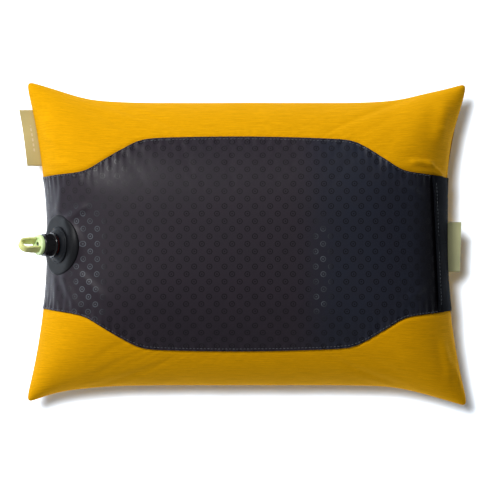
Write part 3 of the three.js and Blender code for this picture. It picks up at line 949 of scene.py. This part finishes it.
def add_cover(cover):
    back, front, uv = settled_cover(cover)
    made["back"], made["uv"] = back, uv
    mustard = mustard_material(tuple(cover.mustard))
    charcoal = charcoal_material(tuple(cover.charcoal), cover.motif_pitch)
    # Painted shade: the flap strip's cloth is painted five times darker than the panel, standing in for
    # the shade on the slope that faces away from the light.
    strip = shade(tuple(cover.charcoal), 0.2)
    made["strip"] = charcoal_material(
        strip, cover.motif_pitch, "flap strip with painted shade", printed=False, gloss=0.04, rough=0.8
    )
    normals = grid_normals(back)

    face = grid_object("front_panel", fine_grid(front), fine_grid(uv))
    face.data.flip_normals()
    thicken(face, MUSTARD_CLOTH)
    finish_mesh(face, "pillow", mustard, ["cover_front_panel"])

    wide_uv, wide_back = fine_grid(uv), folded(fine_grid(back))
    wide_normals = grid_normals(wide_back)
    low, high = 2 * LOW_SEAM, 2 * HIGH_SEAM
    tuck = 2
    for name, rows, seam_row, node in (
        ("wing_lower", slice(0, low + tuck + 1), low, "cover_wing_lower"),
        ("wing_upper", slice(high - tuck, None), high, "cover_wing_upper"),
    ):
        away = seam_distance(wide_uv, seam_row)
        inside = (np.arange(wide_uv.shape[1]) - seam_row) * (1 if seam_row == low else -1) > 0
        sink = -0.0006 * (1 - ease(away / 0.0035)) - 0.0005 * inside[None, :]
        points = lifted(wide_back, wide_normals, sink)[:, rows]
        wing = grid_object(name, points, wide_uv[:, rows])
        thicken(wing, MUSTARD_CLOTH)
        finish_mesh(wing, "pillow", mustard, [node])

    spots = flap_spots(back, FLAP_COVERS)
    grids = []
    for values in (back, normals, uv):
        rows = [
            sample(values[:, j], np.linspace(0, spots[j], 2 * COLUMNS + 1))
            for j in range(LOW_SEAM, HIGH_SEAM + 1)
        ]
        grids.append(finer(np.stack(rows, 1), 2, 1))
    points, normal, cloth = grids
    points = folded(points)
    away = np.minimum(seam_distance(cloth, 0), seam_distance(cloth, -1))
    lift = 0.0006 * (1 - ease(away / 0.005)) - 0.0005 * np.exp(-(((away - 0.0018) / 0.0009) ** 2))
    ruche = np.sin(cloth[..., 0] * 2 * math.pi / 0.0066 + 1.4 * np.sin(cloth[..., 0] * 61))
    ruche = ruche * np.exp(-away / 0.007) * ease(away / 0.0012)
    strong = 0.35 + 0.65 * ease((np.abs(cloth[..., 0]) - 0.07) / 0.05)
    lift = lift + 0.00065 * ruche * strong
    ending = np.linspace(0, 1, points.shape[0])[:, None] * np.ones((1, points.shape[1]))
    lift = lift - 0.0008 * ease((ending - 0.955) / 0.03)
    points = lifted(points, normal, lift)
    panel = grid_object("back_panel", points, cloth)
    bm = bmesh.new()
    bm.from_mesh(panel.data)
    bm.faces.ensure_lookup_table()
    under = [f for f in bm.faces if (f.calc_center_median() - VALVE_FOOT).length < 0.0085]
    bmesh.ops.delete(bm, geom=under, context="FACES")
    bm.to_mesh(panel.data)
    bm.free()
    thicken(panel, CHARCOAL_CLOTH)
    finish_mesh(panel, "pillow", charcoal, ["cover_back_panel"])
    made["panel"] = points


def add_flap():
    """The strip over the opening, in two halves that bow out from their sewn ends."""
    back, uv = made["back"], made["uv"]
    normals = grid_normals(back)
    spots = flap_spots(back)
    width = 14
    middle = (LOW_SEAM + HIGH_SEAM) // 2
    for name, first, last, side in (
        ("opening_flap_lower", LOW_SEAM, middle, -1),
        ("opening_flap_upper", middle, HIGH_SEAM, 1),
    ):
        grids = []
        for values in (back, normals, uv):
            rows = [
                sample(values[:, j], np.linspace(spots[j], COLUMNS, width + 1))
                for j in range(first, last + 1)
            ]
            grids.append(fine_grid(np.stack(rows, 1)))
        points, normal, cloth = grids
        out = np.linspace(1, 0, points.shape[0])[:, None] * np.ones((1, points.shape[1]))
        edge = cloth[..., 0] - cloth[:1, :, 0]
        away = seam_distance(cloth, 0 if side < 0 else -1)
        free = ease(away / 0.012)
        lift = 0.0009 + (0.0012 * out**2) * free
        lift = lift - 0.0004 * np.exp(-(((edge - 0.0035) / 0.0009) ** 2))
        points = lifted(points, normal, lift)
        rolled = lifted(points[:2], normal[:2], np.array([[-0.0007], [-0.0002]]))
        rolled[0] += (points[0] - points[2]) * 0.12
        points = np.concatenate([rolled[:1], points], 0)
        cloth = np.concatenate([cloth[:1] - 0.0004, cloth], 0)
        half = grid_object(name, points, cloth)
        half.data.materials.append(made["strip"])
        half.data.materials.append(made["thread"])
        row = points[4:6].mean(0)
        add_stitches(half, row, grid_normals(points)[5], 1, skip=2)
        finish_mesh(half, None, None, ["cover_opening_flap"])
        if side < 0:
            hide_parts("flap_hem_stitch")
        thicken(half, CHARCOAL_CLOTH)
        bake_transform(half)


def stitch_places(row, pitch=0.0031):
    """Middles and directions of evenly spaced stitches along a row of points."""
    steps = np.linalg.norm(np.diff(row, axis=0), axis=1)
    arc = np.concatenate([[0], np.cumsum(steps)])
    marks = np.arange(pitch / 2, arc[-1] - pitch / 2, pitch)

    def at(marks_here):
        return np.stack([np.interp(marks_here, arc, row[:, k]) for k in range(3)], 1)

    before, after = at(marks - 0.4 * pitch), at(marks + 0.4 * pitch)
    return marks, (before + after) / 2, after - before


def add_stitches(obj, row, normals, material_index, skip=0):
    """Sews small rounded stitches into obj along a row of points on its surface."""
    steps = np.linalg.norm(np.diff(row, axis=0), axis=1)
    arc = np.concatenate([[0], np.cumsum(steps)])
    marks, middles, runs = stitch_places(row)
    bm = bmesh.new()
    bm.from_mesh(obj.data)
    count = len(bm.faces)
    for k in range(skip, len(marks) - skip):
        up = Vector([np.interp(marks[k], arc, normals[:, axis]) for axis in range(3)]).normalized()
        run = Vector(runs[k])
        side = up.cross(run).normalized()
        place = Matrix.Identity(4)
        place.col[0][:3] = run / 2
        place.col[1][:3] = side * 0.00030
        place.col[2][:3] = up * 0.00026
        place.col[3][:3] = Vector(middles[k]) + up * 0.00012
        bmesh.ops.create_uvsphere(bm, u_segments=6, v_segments=4, radius=1.0, matrix=place)
    bm.faces.ensure_lookup_table()
    for face in bm.faces[count:]:
        face.material_index = material_index
        face.normal_update()
    bm.to_mesh(obj.data)
    bm.free()


def add_stitching():
    """The rows of topstitching along the two seams of the charcoal panel."""
    points = made["panel"]
    normal = grid_normals(points)
    for name, row, node in (
        ("topstitching_lower", 2, "topstitch_lower"),
        ("topstitching_upper", -3, "topstitch_upper"),
    ):
        obj = mesh_object(name, bmesh.new())
        end = int(points.shape[0] * 0.955)
        add_stitches(obj, points[2:end, row], normal[2:end, row], 0)
        finish_mesh(obj, "pillow", made["thread"], [node])


def add_binding(cover):
    """The taped seam allowance round the inside of the perimeter seam."""
    turns = np.linspace(0, 1, 161)[:-1]
    outline = []
    for f in turns:
        k, q = int(f * 4), f * 4 % 1
        q = (1 - math.cos(math.pi * q)) / 2 * 2 - 1
        outline.append([(q, -1), (1, q), (-q, 1), (-1, -q)][k])
    s, t = np.array(outline).T
    rings = []
    for inset, height in ((0.0045, 0.0004), (0.0085, 0.0005), (0.0085, -0.0005), (0.0045, -0.0004)):
        x, y = plan_point(s, t, inset)
        rings.append(np.stack([x, y, np.full_like(x, SEAM_HEIGHT + height)], -1))
    rings = np.stack(rings, 1)
    rings = np.concatenate([rings, rings[:1]], 0)
    travelled = np.cumsum(np.linalg.norm(np.diff(rings[:, 0], axis=0), axis=-1))
    travelled = np.concatenate([[0], travelled])
    around = np.array([0, 0.004, 0.005, 0.009, 0.010])
    cloth = np.stack(np.broadcast_arrays(travelled[:, None], around), -1)
    tape = swept("seam_tape", rings, cloth)
    material = ribbon_material("seam tape", shade(tuple(cover.mustard), 0.8))
    finish_mesh(tape, "pillow", material, ["cover_seam_binding"], smooth=False)


# ------------------------------------------------------------------ labels


def add_label(name, side, low_y, high_y, reach, node, material, wave):
    """A ribbon folded in two, with both ends in the side seam."""
    edge = made["back"][0 if side < 0 else -1]
    order = np.argsort(edge[:, 1])
    along = np.linspace(low_y, high_y, 33)
    root = np.stack([np.interp(along, edge[order, 1], edge[order, k]) for k in (0, 1, 2)], 1)
    out = np.array([side, 0.0, 0.0])
    up = np.array([0.0, 0.0, 1.0])
    ply, gap = 0.00035, 0.0003
    section = []
    turns = np.linspace(math.pi / 2, -math.pi / 2, 7)
    for depth in (ply + gap / 2, gap / 2):
        path = [(f, depth) for f in (-0.18, 0.1, 0.35, 0.6, 0.8)]
        path += [(0.95, depth * math.sin(a), depth * math.cos(a)) for a in turns]
        path += [(f, -depth) for f in (0.8, 0.6, 0.35, 0.1, -0.18)]
        section.append(path if depth > gap else path[::-1])
    rings = []
    for k, base in enumerate(root):
        share = k / (len(root) - 1)
        far = reach[0] + (reach[1] - reach[0]) * share
        ring = []
        for spot in section[0] + section[1]:
            f, rise = spot[0], spot[1]
            extra = spot[2] if len(spot) > 2 else 0.0
            sag = -0.0022 * max(f, 0) ** 2 + wave * math.sin(share * 5.2 + 0.7) * max(f, 0) ** 1.5
            ring.append(base + out * (f * far + extra) + up * (rise + sag))
        rings.append(ring)
    rings = np.array(rings)
    uv = np.zeros((len(root), len(section[0]) * 2 + 1, 2))
    uv[..., 0] = along[:, None]
    lengths = [0.0]
    loop = rings[len(root) // 2]
    for a, b in zip(loop, np.roll(loop, -1, 0)):
        lengths.append(lengths[-1] + float(np.linalg.norm(b - a)))
    uv[..., 1] = np.array(lengths)[None, :]
    label = swept(name, rings, uv)
    finish_mesh(label, None, material, [node])
    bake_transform(label)


def add_labels(labels):
    dashes = {
        "pitch": 0.0044,
        "span": (0.080, 0.1025),
        "row": 0.0068,
        "color": (0.62, 0.48, 0.33),
    }
    khaki = ribbon_material("khaki label ribbon", tuple(labels.khaki), dashes)
    olive = ribbon_material("olive label ribbon", tuple(labels.olive))
    add_label(
        "left_label", -1, 0.0675, 0.1162, (0.0130, 0.0118), "label_tab_left", khaki,
        0.0012,
    )
    add_label(
        "right_label", 1, -0.0242, 0.0190, (0.0112, 0.0130), "label_tab_right",
        olive, -0.0009,
    )


# ------------------------------------------------------------------ core


def add_core():
    """The airtight core: two welded halves with a foam block inside."""
    columns, rows = (np.sin(np.linspace(-1, 1, count) * math.pi / 2) for count in (61, 49))
    s, t = np.meshgrid(columns, rows, indexing="ij")
    film, n, skin = new_material("laminated core film")
    here = n.coordinates("UV")
    weave = n.group(shared("Plain weave", build_weave), Vector=here, Pitch=0.001)
    n.wire(n.mix(weave[0], (0.20, 0.21, 0.22), (0.26, 0.27, 0.28)), skin["Base Color"])
    skin["Roughness"].default_value = 0.4
    n.wire(n.bump(weave[0], 0.3, 0.0001), skin["Normal"])
    for name, side, node in (
        ("core_half_back", 1, "core_shell_back"),
        ("core_half_front", -1, "core_shell_front"),
    ):
        points = surface(s, t, side, depth=0.0065, inset=0.010)
        rim = []
        for inset in (0.004, 0.0075):
            x, y = plan_point(s, t, inset + 0.0065)
            rim.append(np.stack([x, y, np.full_like(x, SEAM_HEIGHT + side * 0.0003)], -1))
        grid = np.pad(points, ((2, 2), (2, 2), (0, 0)), mode="edge")
        for depth, ring in enumerate(rim):
            ring = np.pad(ring, ((2, 2), (2, 2), (0, 0)), mode="edge")
            edge = np.zeros(grid.shape[:2], bool)
            edge[depth, :] = edge[-1 - depth, :] = edge[:, depth] = edge[:, -1 - depth] = True
            if depth:
                edge[0, :] = edge[-1, :] = edge[:, 0] = edge[:, -1] = False
            grid[edge] = ring[edge]
        half = grid_object(name, grid, grid[..., :2])
        if side < 0:
            half.data.flip_normals()
        thicken(half, CORE_FILM)
        finish_mesh(half, "pillow", film, [node])
    foam, n, skin = new_material("open cell foam")
    here = n.coordinates("Object")
    cells = n.noise(here, 700.0, 3.0, 0.7)
    n.wire(n.mix(cells, (0.70, 0.66, 0.50), (0.86, 0.83, 0.70)), skin["Base Color"])
    skin["Roughness"].default_value = 0.95
    n.wire(n.bump(cells, 0.6, 0.0006), skin["Normal"])
    block = []
    for side in (1, -1):
        points = surface(s, t, side, depth=0.0095, inset=0.018)
        points[..., 2] += side * 0.0006
        block.append(points)
    low = grid_object("foam_block", block[1])
    low.data.flip_normals()
    bm = bmesh.new()
    bm.from_mesh(low.data)
    top = grid_object("foam_top", block[0])
    bm.from_mesh(top.data)
    bpy.data.objects.remove(top)
    rims = [e for e in bm.edges if e.is_boundary]
    bmesh.ops.bridge_loops(bm, edges=rims)
    bmesh.ops.recalc_face_normals(bm, faces=bm.faces)
    bm.to_mesh(low.data)
    bm.free()
    finish_mesh(low, "pillow", foam, ["foam_core"])


# ------------------------------------------------------------------ valve

PATCH_RINGS = (0.0085, 0.012, 0.016, 0.019, 0.021, 0.0225, 0.0240, 0.0250, 0.0256)
SEAT = {"collar": 0.0002, "seal": 0.0037, "barrel": 0.0051, "cap": 0.0170}
CAP_TOP = 0.0206
LOOP_ROLL = math.radians(133)
HINGE = 0.0225

# The strap's section with its rounded edges, in shares of its half width and half thickness.
STRAP_FACE = [(-1, 0.55), (-0.94, 0.95), (-0.8, 1), (0, 1), (0.8, 1), (0.94, 0.95), (1, 0.55)]
STRAP_SECTION = STRAP_FACE + [(-across, -off) for across, off in STRAP_FACE]


def valve_piece(name, bm, body, material, nodes, roll=0.0):
    bm.transform(VALVE_PLACE @ Matrix.Rotation(roll, 4, "Z"))
    obj = mesh_object(name, bm)
    finish_mesh(obj, body, material, nodes)
    obj.data.set_sharp_from_angle(angle=math.radians(38))
    return obj


def add_boxes(bm, count, radius, size, height, bevel):
    """Small bevelled blocks set round the axis."""
    for k in range(count):
        turn = Matrix.Rotation(2 * math.pi * k / count, 4, "Z")
        place = turn @ Matrix.Translation((radius, 0, height)) @ Matrix.Diagonal((*size, 1))
        block = bmesh.ops.create_cube(bm, size=1.0, matrix=place)
        edges = {e for v in block["verts"] for e in v.link_edges}
        bmesh.ops.bevel(
            bm,
            geom=list(edges),
            offset=bevel,
            segments=2,
            profile=0.5,
            affect="EDGES",
            material=-1,
        )


def add_patch(material):
    """The round patch, which follows the cloth it is welded to."""
    points = folded(fine_grid(made["back"]))
    ni, nj = points.shape[:2]
    corner = np.arange(ni * nj).reshape(ni, nj)
    quads = np.stack([corner[:-1, :-1], corner[1:, :-1], corner[1:, 1:], corner[:-1, 1:]], -1)
    cloth = BVHTree.FromPolygons(points.reshape(-1, 3).tolist(), quads.reshape(-1, 4).tolist())
    rings = []
    for turn in np.linspace(0, 2 * math.pi, 97)[:-1]:
        row = []
        for radius in PATCH_RINGS:
            local = Vector((radius * math.cos(turn), radius * math.sin(turn), 0.03))
            start = VALVE_PLACE @ local
            place, normal, _, _ = cloth.ray_cast(start, -VALVE_AXIS, 0.06)
            if place is None:
                place, normal, _, _ = cloth.find_nearest(start)
            lift = 0.0008 if radius < PATCH_RINGS[-1] else 0.0003
            row.append(place + normal * lift * (1 if normal.z > 0 else -1))
        rings.append(row)
    rings = np.array(rings)
    rings = np.concatenate([rings, rings[:1]], 0)
    turns = np.linspace(0, 2 * math.pi, 97)[:, None]
    reach = np.array(PATCH_RINGS)[None, :]
    uv = np.stack([reach * np.cos(turns), reach * np.sin(turns)], -1)
    patch = grid_object("valve_patch_disc", rings, uv)
    bm = bmesh.new()
    bm.from_mesh(patch.data)
    bmesh.ops.remove_doubles(bm, verts=bm.verts, dist=1e-6)
    bmesh.ops.recalc_face_normals(bm, faces=bm.faces)
    bm.normal_update()
    lean = sum((f.normal for f in bm.faces), Vector())
    if lean.dot(VALVE_AXIS) < 0:
        bmesh.ops.reverse_faces(bm, faces=bm.faces)
    bm.to_mesh(patch.data)
    bm.free()
    thicken(patch, CHARCOAL_CLOTH)
    finish_mesh(patch, "pillow", material, ["valve_patch"])


def add_valve(valve):
    black = moulded_material("glossy black plastic", (0.003, 0.003, 0.004), 0.16, 0.05, coat=0.25)
    rubber = moulded_material("collar rubber", tuple(valve.rubber), 0.55, 0.4, gloss=0.12)
    red = moulded_material("red silicone", (0.30, 0.02, 0.01), 0.4, 0.2)
    lime = moulded_material("lime plastic", tuple(valve.cap), 0.38, 0.2, soft=0.15)
    dark = charcoal_material(
        (0.0060, 0.0070, 0.0090), 0.0128, "patch fabric", printed=False, gloss=0.10
    )

    add_patch(dark)

    flange = [(0.0054, -0.0030), (0.0176, -0.0030), (0.0176, -0.0014), (0.0076, -0.0014),
              (0.0076, 0.0102), (0.0054, 0.0102)]
    valve_piece("valve_flange", turned(rounded_profile(flange, 0.0004, 2), 48), "pillow",
                rubber, ["valve_weld_flange"])

    base = SEAT["collar"]
    collar = [(0.0080, base), (0.0156, base), (0.0157, base + 0.0006), (0.0148, base + 0.0013),
              (0.0140, base + 0.0014), (0.0135, base + 0.0019), (0.0122, base + 0.0026),
              (0.0108, base + 0.0031), (0.0098, base + 0.0032), (0.0080, base + 0.0032)]
    valve_piece("valve_collar_dome", turned(rounded_profile(collar, 0.0003, 3), 72), "pillow",
                rubber, ["valve_collar"])

    base = SEAT["seal"]
    seal = [(0.0080, base), (0.0090, base), (0.0090, base + 0.0011), (0.0080, base + 0.0011)]
    valve_piece("valve_seal", turned(rounded_profile(seal, 0.0004, 3), 60), "pillow",
                red, ["valve_seal_ring"])

    base, top = SEAT["barrel"], SEAT["cap"] - 0.0003
    profile = [(0.0079, base), (0.0102, base), (0.0105, base + 0.0004), (0.0105, base + 0.0016),
               (0.0100, base + 0.0022), (0.0097, base + 0.0040), (0.0094, top - 0.0010),
               (0.0088, top), (0.0066, top), (0.0066, top - 0.0042), (0.0079, top - 0.0042)]
    barrel = turned(rounded_profile(profile, 0.0003, 3), 72)
    add_boxes(barrel, 16, 0.0104, (0.0008, 0.0018, 0.0013), base + 0.0010, 0.00015)
    add_boxes(barrel, 12, 0.0094, (0.0008, 0.0009, 0.0078), base + 0.0064, 0.0002)
    valve_piece("valve_body", barrel, "pillow", black, ["valve_barrel"])

    stem = [(0.0, 0.0055), (0.0022, 0.0055), (0.0022, 0.0186), (0.0015, CAP_TOP - 0.0006),
            (0.0, CAP_TOP - 0.0004)]
    post = turned(rounded_profile(stem, 0.0003, 3), 32)
    band = [(0.0042, 0.0055), (0.0051, 0.0055), (0.0051, 0.0079), (0.0042, 0.0079)]
    merge_into(post, turned(rounded_profile(band, 0.0002, 2), 40))
    for k in range(3):
        place = Matrix.Rotation(2 * math.pi * k / 3, 4, "Z") @ Matrix.Translation((0.0030, 0, 0.0067))
        bmesh.ops.create_cube(post, size=1.0, matrix=place @ Matrix.Diagonal((0.0026, 0.0012, 0.0020, 1)))
    valve_piece("valve_post", post, "pillow", black, ["valve_centre_post"])
    add_cap(lime, rubber)
    add_loop(valve)


def merge_into(bm, other):
    mesh = bpy.data.meshes.new("part")
    other.to_mesh(mesh)
    other.free()
    bm.from_mesh(mesh)
    bpy.data.meshes.remove(mesh)


def add_cap(lime, rubber):
    low, top = SEAT["cap"], CAP_TOP
    profile = [
        (0.0043, low - 0.0062), (0.0063, low - 0.0062), (0.0063, low - 0.0056), (0.0054, low - 0.0055),
        (0.0054, low - 0.0040), (0.0063, low - 0.0039), (0.0063, low), (0.0084, low),
        (0.0089, low + 0.0006), (0.0089, top - 0.0011), (0.0085, top - 0.0003), (0.0078, top),
        (0.0062, top), (0.0058, top - 0.0005), (0.0044, top - 0.0005), (0.0040, top),
        (0.0031, top), (0.0026, top - 0.0005), (0.0026, low + 0.0010), (0.0043, low + 0.0010),
    ]
    cap = turned(rounded_profile(profile, 0.00022, 3), 72)
    obj = valve_piece(
        "valve_cap_disc", cap, "valve_cap", lime, ["valve_pull_cap"], LOOP_ROLL
    )
    cutters = []
    for sign in (-1, 1):
        cutter = bmesh.new()
        place = Matrix.Translation((sign * 0.0050, 0, HINGE)) @ Matrix.Rotation(math.pi / 2, 4, "Y")
        bmesh.ops.create_cone(
            cutter,
            cap_ends=True,
            segments=48,
            radius1=0.0041,
            radius2=0.0041,
            depth=0.0028,
            matrix=place,
        )
        cutter.transform(VALVE_PLACE @ Matrix.Rotation(LOOP_ROLL, 4, "Z"))
        cutters.append(mesh_object(f"slot_{sign}", cutter))
    for cutter in cutters:
        cut = obj.modifiers.new("Slot", "BOOLEAN")
        cut.operation = "DIFFERENCE"
        cut.solver = "EXACT"
        cut.object = cutter
    apply_modifiers(obj)
    for cutter in cutters:
        bpy.data.objects.remove(cutter)
    groove, wire = low - 0.00475, 0.0005
    turns = np.linspace(0, 2 * math.pi, 13)[:-1]
    section = [(0.00605 + wire * math.cos(a), groove + wire * math.sin(a)) for a in turns]
    ring = turned(section, 48)
    valve_piece("valve_o_ring", ring, "valve_cap", rubber, ["valve_cap_o_ring"])


def apply_modifiers(obj):
    evaluated = obj.evaluated_get(bpy.context.evaluated_depsgraph_get())
    mesh = bpy.data.meshes.new_from_object(evaluated)
    obj.modifiers.clear()
    obj.data = mesh


def add_loop(valve):
    """The ribbed strap, bent to a loop whose round ends turn in the cap's slots."""
    material, n, skin = new_material("ribbed lime strap")
    here = n.coordinates("UV")
    color = tuple(valve.strap)
    rib = n.math("SINE", n.math("MULTIPLY", n.split(here)[0], 2 * math.pi / 0.0009))
    rib = n.math("MULTIPLY_ADD", rib, 0.5, 0.5)
    tone = n.mix(rib, shade(color, 0.78), shade(color, 1.08))
    n.wire(tone, skin["Base Color"])
    skin["Roughness"].default_value = 0.5
    skin["Subsurface Weight"].default_value = 0.15
    skin["Subsurface Radius"].default_value = (0.002, 0.002, 0.0008)
    n.wire(n.bump(rib, 0.6, 0.00025), skin["Normal"])
    outer, thick, half_width = 0.0060, 0.0020, 0.00375
    centre = outer - thick / 2
    bend = CAP_TOP + 0.017 - outer
    foot = HINGE - half_width
    leg = [(centre, h, 1.0, 0.0) for h in np.linspace(foot, bend, 44)]
    turn = [(centre * math.cos(a), bend + centre * math.sin(a), math.cos(a), math.sin(a))
            for a in np.linspace(0, math.pi, 40)[1:-1]]
    path = leg + turn + [(-x, h, -nx, nz) for x, h, nx, nz in leg[::-1]]
    rings, travelled, uv_run = [], 0.0, []
    previous = None
    for x, h, nx, nz in path:
        if previous is not None:
            travelled += math.hypot(x - previous[0], h - previous[1])
        previous = (x, h)
        round_end = half_width
        if h < HINGE:
            round_end = math.sqrt(max(0.0, half_width**2 - (HINGE - h) ** 2))
        taper = 1.0 - 0.22 * ease((h - HINGE - 0.004) / 0.008)
        w = max(0.0003, round_end * taper)
        rib_rise = 0.00010 * math.sin(travelled * 2 * math.pi / 0.0009) if h > HINGE else 0.0
        d = thick / 2 + rib_rise
        ring = []
        for across, off in STRAP_SECTION:
            ring.append((x + nx * d * off, across * w, h + nz * d * off))
        rings.append(ring)
        uv_run.append(travelled)
    rings = np.array(rings)
    uv = np.zeros((len(rings), rings.shape[1] + 1, 2))
    uv[..., 0] = np.array(uv_run)[:, None]
    uv[..., 1] = np.linspace(0, 0.018, rings.shape[1] + 1)[None, :]
    loop = swept("pull_loop_strap", rings, uv)
    loop.data.transform(VALVE_PLACE @ Matrix.Rotation(LOOP_ROLL, 4, "Z"))
    finish_mesh(loop, "pull_loop", material, ["valve_pull_loop"])
    loop.data.set_sharp_from_angle(angle=math.radians(50))


# ------------------------------------------------------------------ stage


def lit_only(lamp, floor, state):
    """Lets a lamp light only the floor (INCLUDE), or everything but the floor (EXCLUDE)."""
    listed = bpy.data.collections.new(lamp.name + "_receivers")
    listed.objects.link(floor)
    listed.collection_objects[0].light_linking.link_state = state
    lamp.light_linking.receiver_collection = listed


def add_stage(stage):
    scene = bpy.context.scene
    scene.view_settings.view_transform = "Standard"
    bm = bmesh.new()
    bmesh.ops.create_grid(bm, x_segments=1, y_segments=1, size=6)
    floor = mesh_object("studio_floor", bm)
    material, n, skin = new_material("studio floor")
    tone = n.noise(n.coordinates("Object"), 3.0, 2.0)
    n.wire(n.mix(tone, shade(stage.floor, 0.99), tuple(stage.floor)), skin["Base Color"])
    skin["Roughness"].default_value = 0.9
    skin["Specular IOR Level"].default_value = 0.1
    floor.data.materials.append(material)
    world = bpy.data.worlds.new("studio")
    world.use_nodes = True
    n = Nodes(world.node_tree)
    toward = n.split(n.coordinates("Generated"))
    glow = n.ramp(toward[0], -0.55, 0.45, 1.02, 0.25)
    background = world.node_tree.nodes["Background"].inputs
    background[0].default_value = (1, 1, 1, 1)
    n.wire(n.math("MULTIPLY", glow, stage.fill), background[1])
    scene.world = world
    for name, place, size, power, state in (
        ("key_light", (-0.78, 0.78, 1.28), 0.6, stage.key_power, "EXCLUDE"),
        ("gloss_light", (-1.1, -0.05, 0.55), 0.35, stage.key_power * 0.03, "EXCLUDE"),
        ("floor_light", (-0.40, 0.40, 2.0), 0.55, stage.floor_power, "INCLUDE"),
    ):
        light = bpy.data.lights.new(name, "AREA")
        light.energy = power
        light.size = size
        lamp = bpy.data.objects.new(name, light)
        lamp.location = place
        lamp.rotation_mode = "QUATERNION"
        lamp.rotation_quaternion = (-Vector(place)).to_track_quat("-Z", "Y")
        scene.collection.objects.link(lamp)
        lit_only(lamp, floor, state)
    data = bpy.data.cameras.new("camera")
    data.lens = 200
    data.clip_end = 20
    camera = bpy.data.objects.new("camera", data)
    distance = stage.view_width * data.lens / data.sensor_width
    camera.location = (0.0022, -0.0052, SEAM_HEIGHT + distance)
    scene.collection.objects.link(camera)
    scene.camera = camera


# ------------------------------------------------------------------ operators and panel


class CAMP_OT_cover(bpy.types.Operator):
    """Settle the sewn cover and cut it into its panels"""

    bl_idname = "camp_pillow.cover"
    bl_label = "Cover"

    def execute(self, context):
        cover = context.scene.camp_cover
        made["thread"] = thread_material(tuple(cover.thread))
        add_cover(cover)
        return {"FINISHED"}


class CAMP_OT_flap(bpy.types.Operator):
    """Add the flap over the envelope opening"""

    bl_idname = "camp_pillow.flap"
    bl_label = "Opening flap"

    def execute(self, context):
        add_flap()
        return {"FINISHED"}


class CAMP_OT_stitching(bpy.types.Operator):
    """Sew the topstitching and tape the seam inside"""

    bl_idname = "camp_pillow.stitching"
    bl_label = "Stitching"

    def execute(self, context):
        add_stitching()
        add_binding(context.scene.camp_cover)
        return {"FINISHED"}


class CAMP_OT_labels(bpy.types.Operator):
    """Add the two folded ribbon labels"""

    bl_idname = "camp_pillow.labels"
    bl_label = "Labels"

    def execute(self, context):
        add_labels(context.scene.camp_labels)
        return {"FINISHED"}


class CAMP_OT_core(bpy.types.Operator):
    """Add the airtight core and its foam"""

    bl_idname = "camp_pillow.core"
    bl_label = "Air core"

    def execute(self, context):
        add_core()
        return {"FINISHED"}


class CAMP_OT_valve(bpy.types.Operator):
    """Add the air valve, its cap and the pull loop"""

    bl_idname = "camp_pillow.valve"
    bl_label = "Air valve"

    def execute(self, context):
        add_valve(context.scene.camp_valve)
        return {"FINISHED"}


class CAMP_OT_stage(bpy.types.Operator):
    """Add the floor, the lights and the camera"""

    bl_idname = "camp_pillow.stage"
    bl_label = "Stage"

    def execute(self, context):
        add_stage(context.scene.camp_stage)
        return {"FINISHED"}


STEPS = (
    CAMP_OT_stage,
    CAMP_OT_cover,
    CAMP_OT_flap,
    CAMP_OT_stitching,
    CAMP_OT_labels,
    CAMP_OT_core,
    CAMP_OT_valve,
)
GROUPS = {
    "camp_cover": CampPillowCover,
    "camp_labels": CampPillowLabels,
    "camp_valve": CampPillowValve,
    "camp_stage": CampPillowStage,
}


class CAMP_PT_panel(bpy.types.Panel):
    """Lists the pieces of the pillow and their sizes and colours"""

    bl_label = "Camp Pillow"
    bl_space_type = "VIEW_3D"
    bl_region_type = "UI"
    bl_category = "Camp Pillow"

    def draw(self, context):
        for step in STEPS:
            self.layout.operator(step.bl_idname)
        for name, group in GROUPS.items():
            box = self.layout.box()
            for prop in group.__annotations__:
                box.prop(getattr(context.scene, name), prop)


def register():
    for group in GROUPS.values():
        bpy.utils.register_class(group)
    for name, group in GROUPS.items():
        setattr(bpy.types.Scene, name, bpy.props.PointerProperty(type=group))
    for step in (*STEPS, CAMP_PT_panel):
        bpy.utils.register_class(step)


def unregister():
    for step in (*STEPS, CAMP_PT_panel):
        bpy.utils.unregister_class(step)
    for name, group in GROUPS.items():
        delattr(bpy.types.Scene, name)
        bpy.utils.unregister_class(group)


def main():
    register()
    for step in STEPS:
        family, name = step.bl_idname.split(".")
        getattr(getattr(bpy.ops, family), name)()


if __name__ == "__main__":
    main()
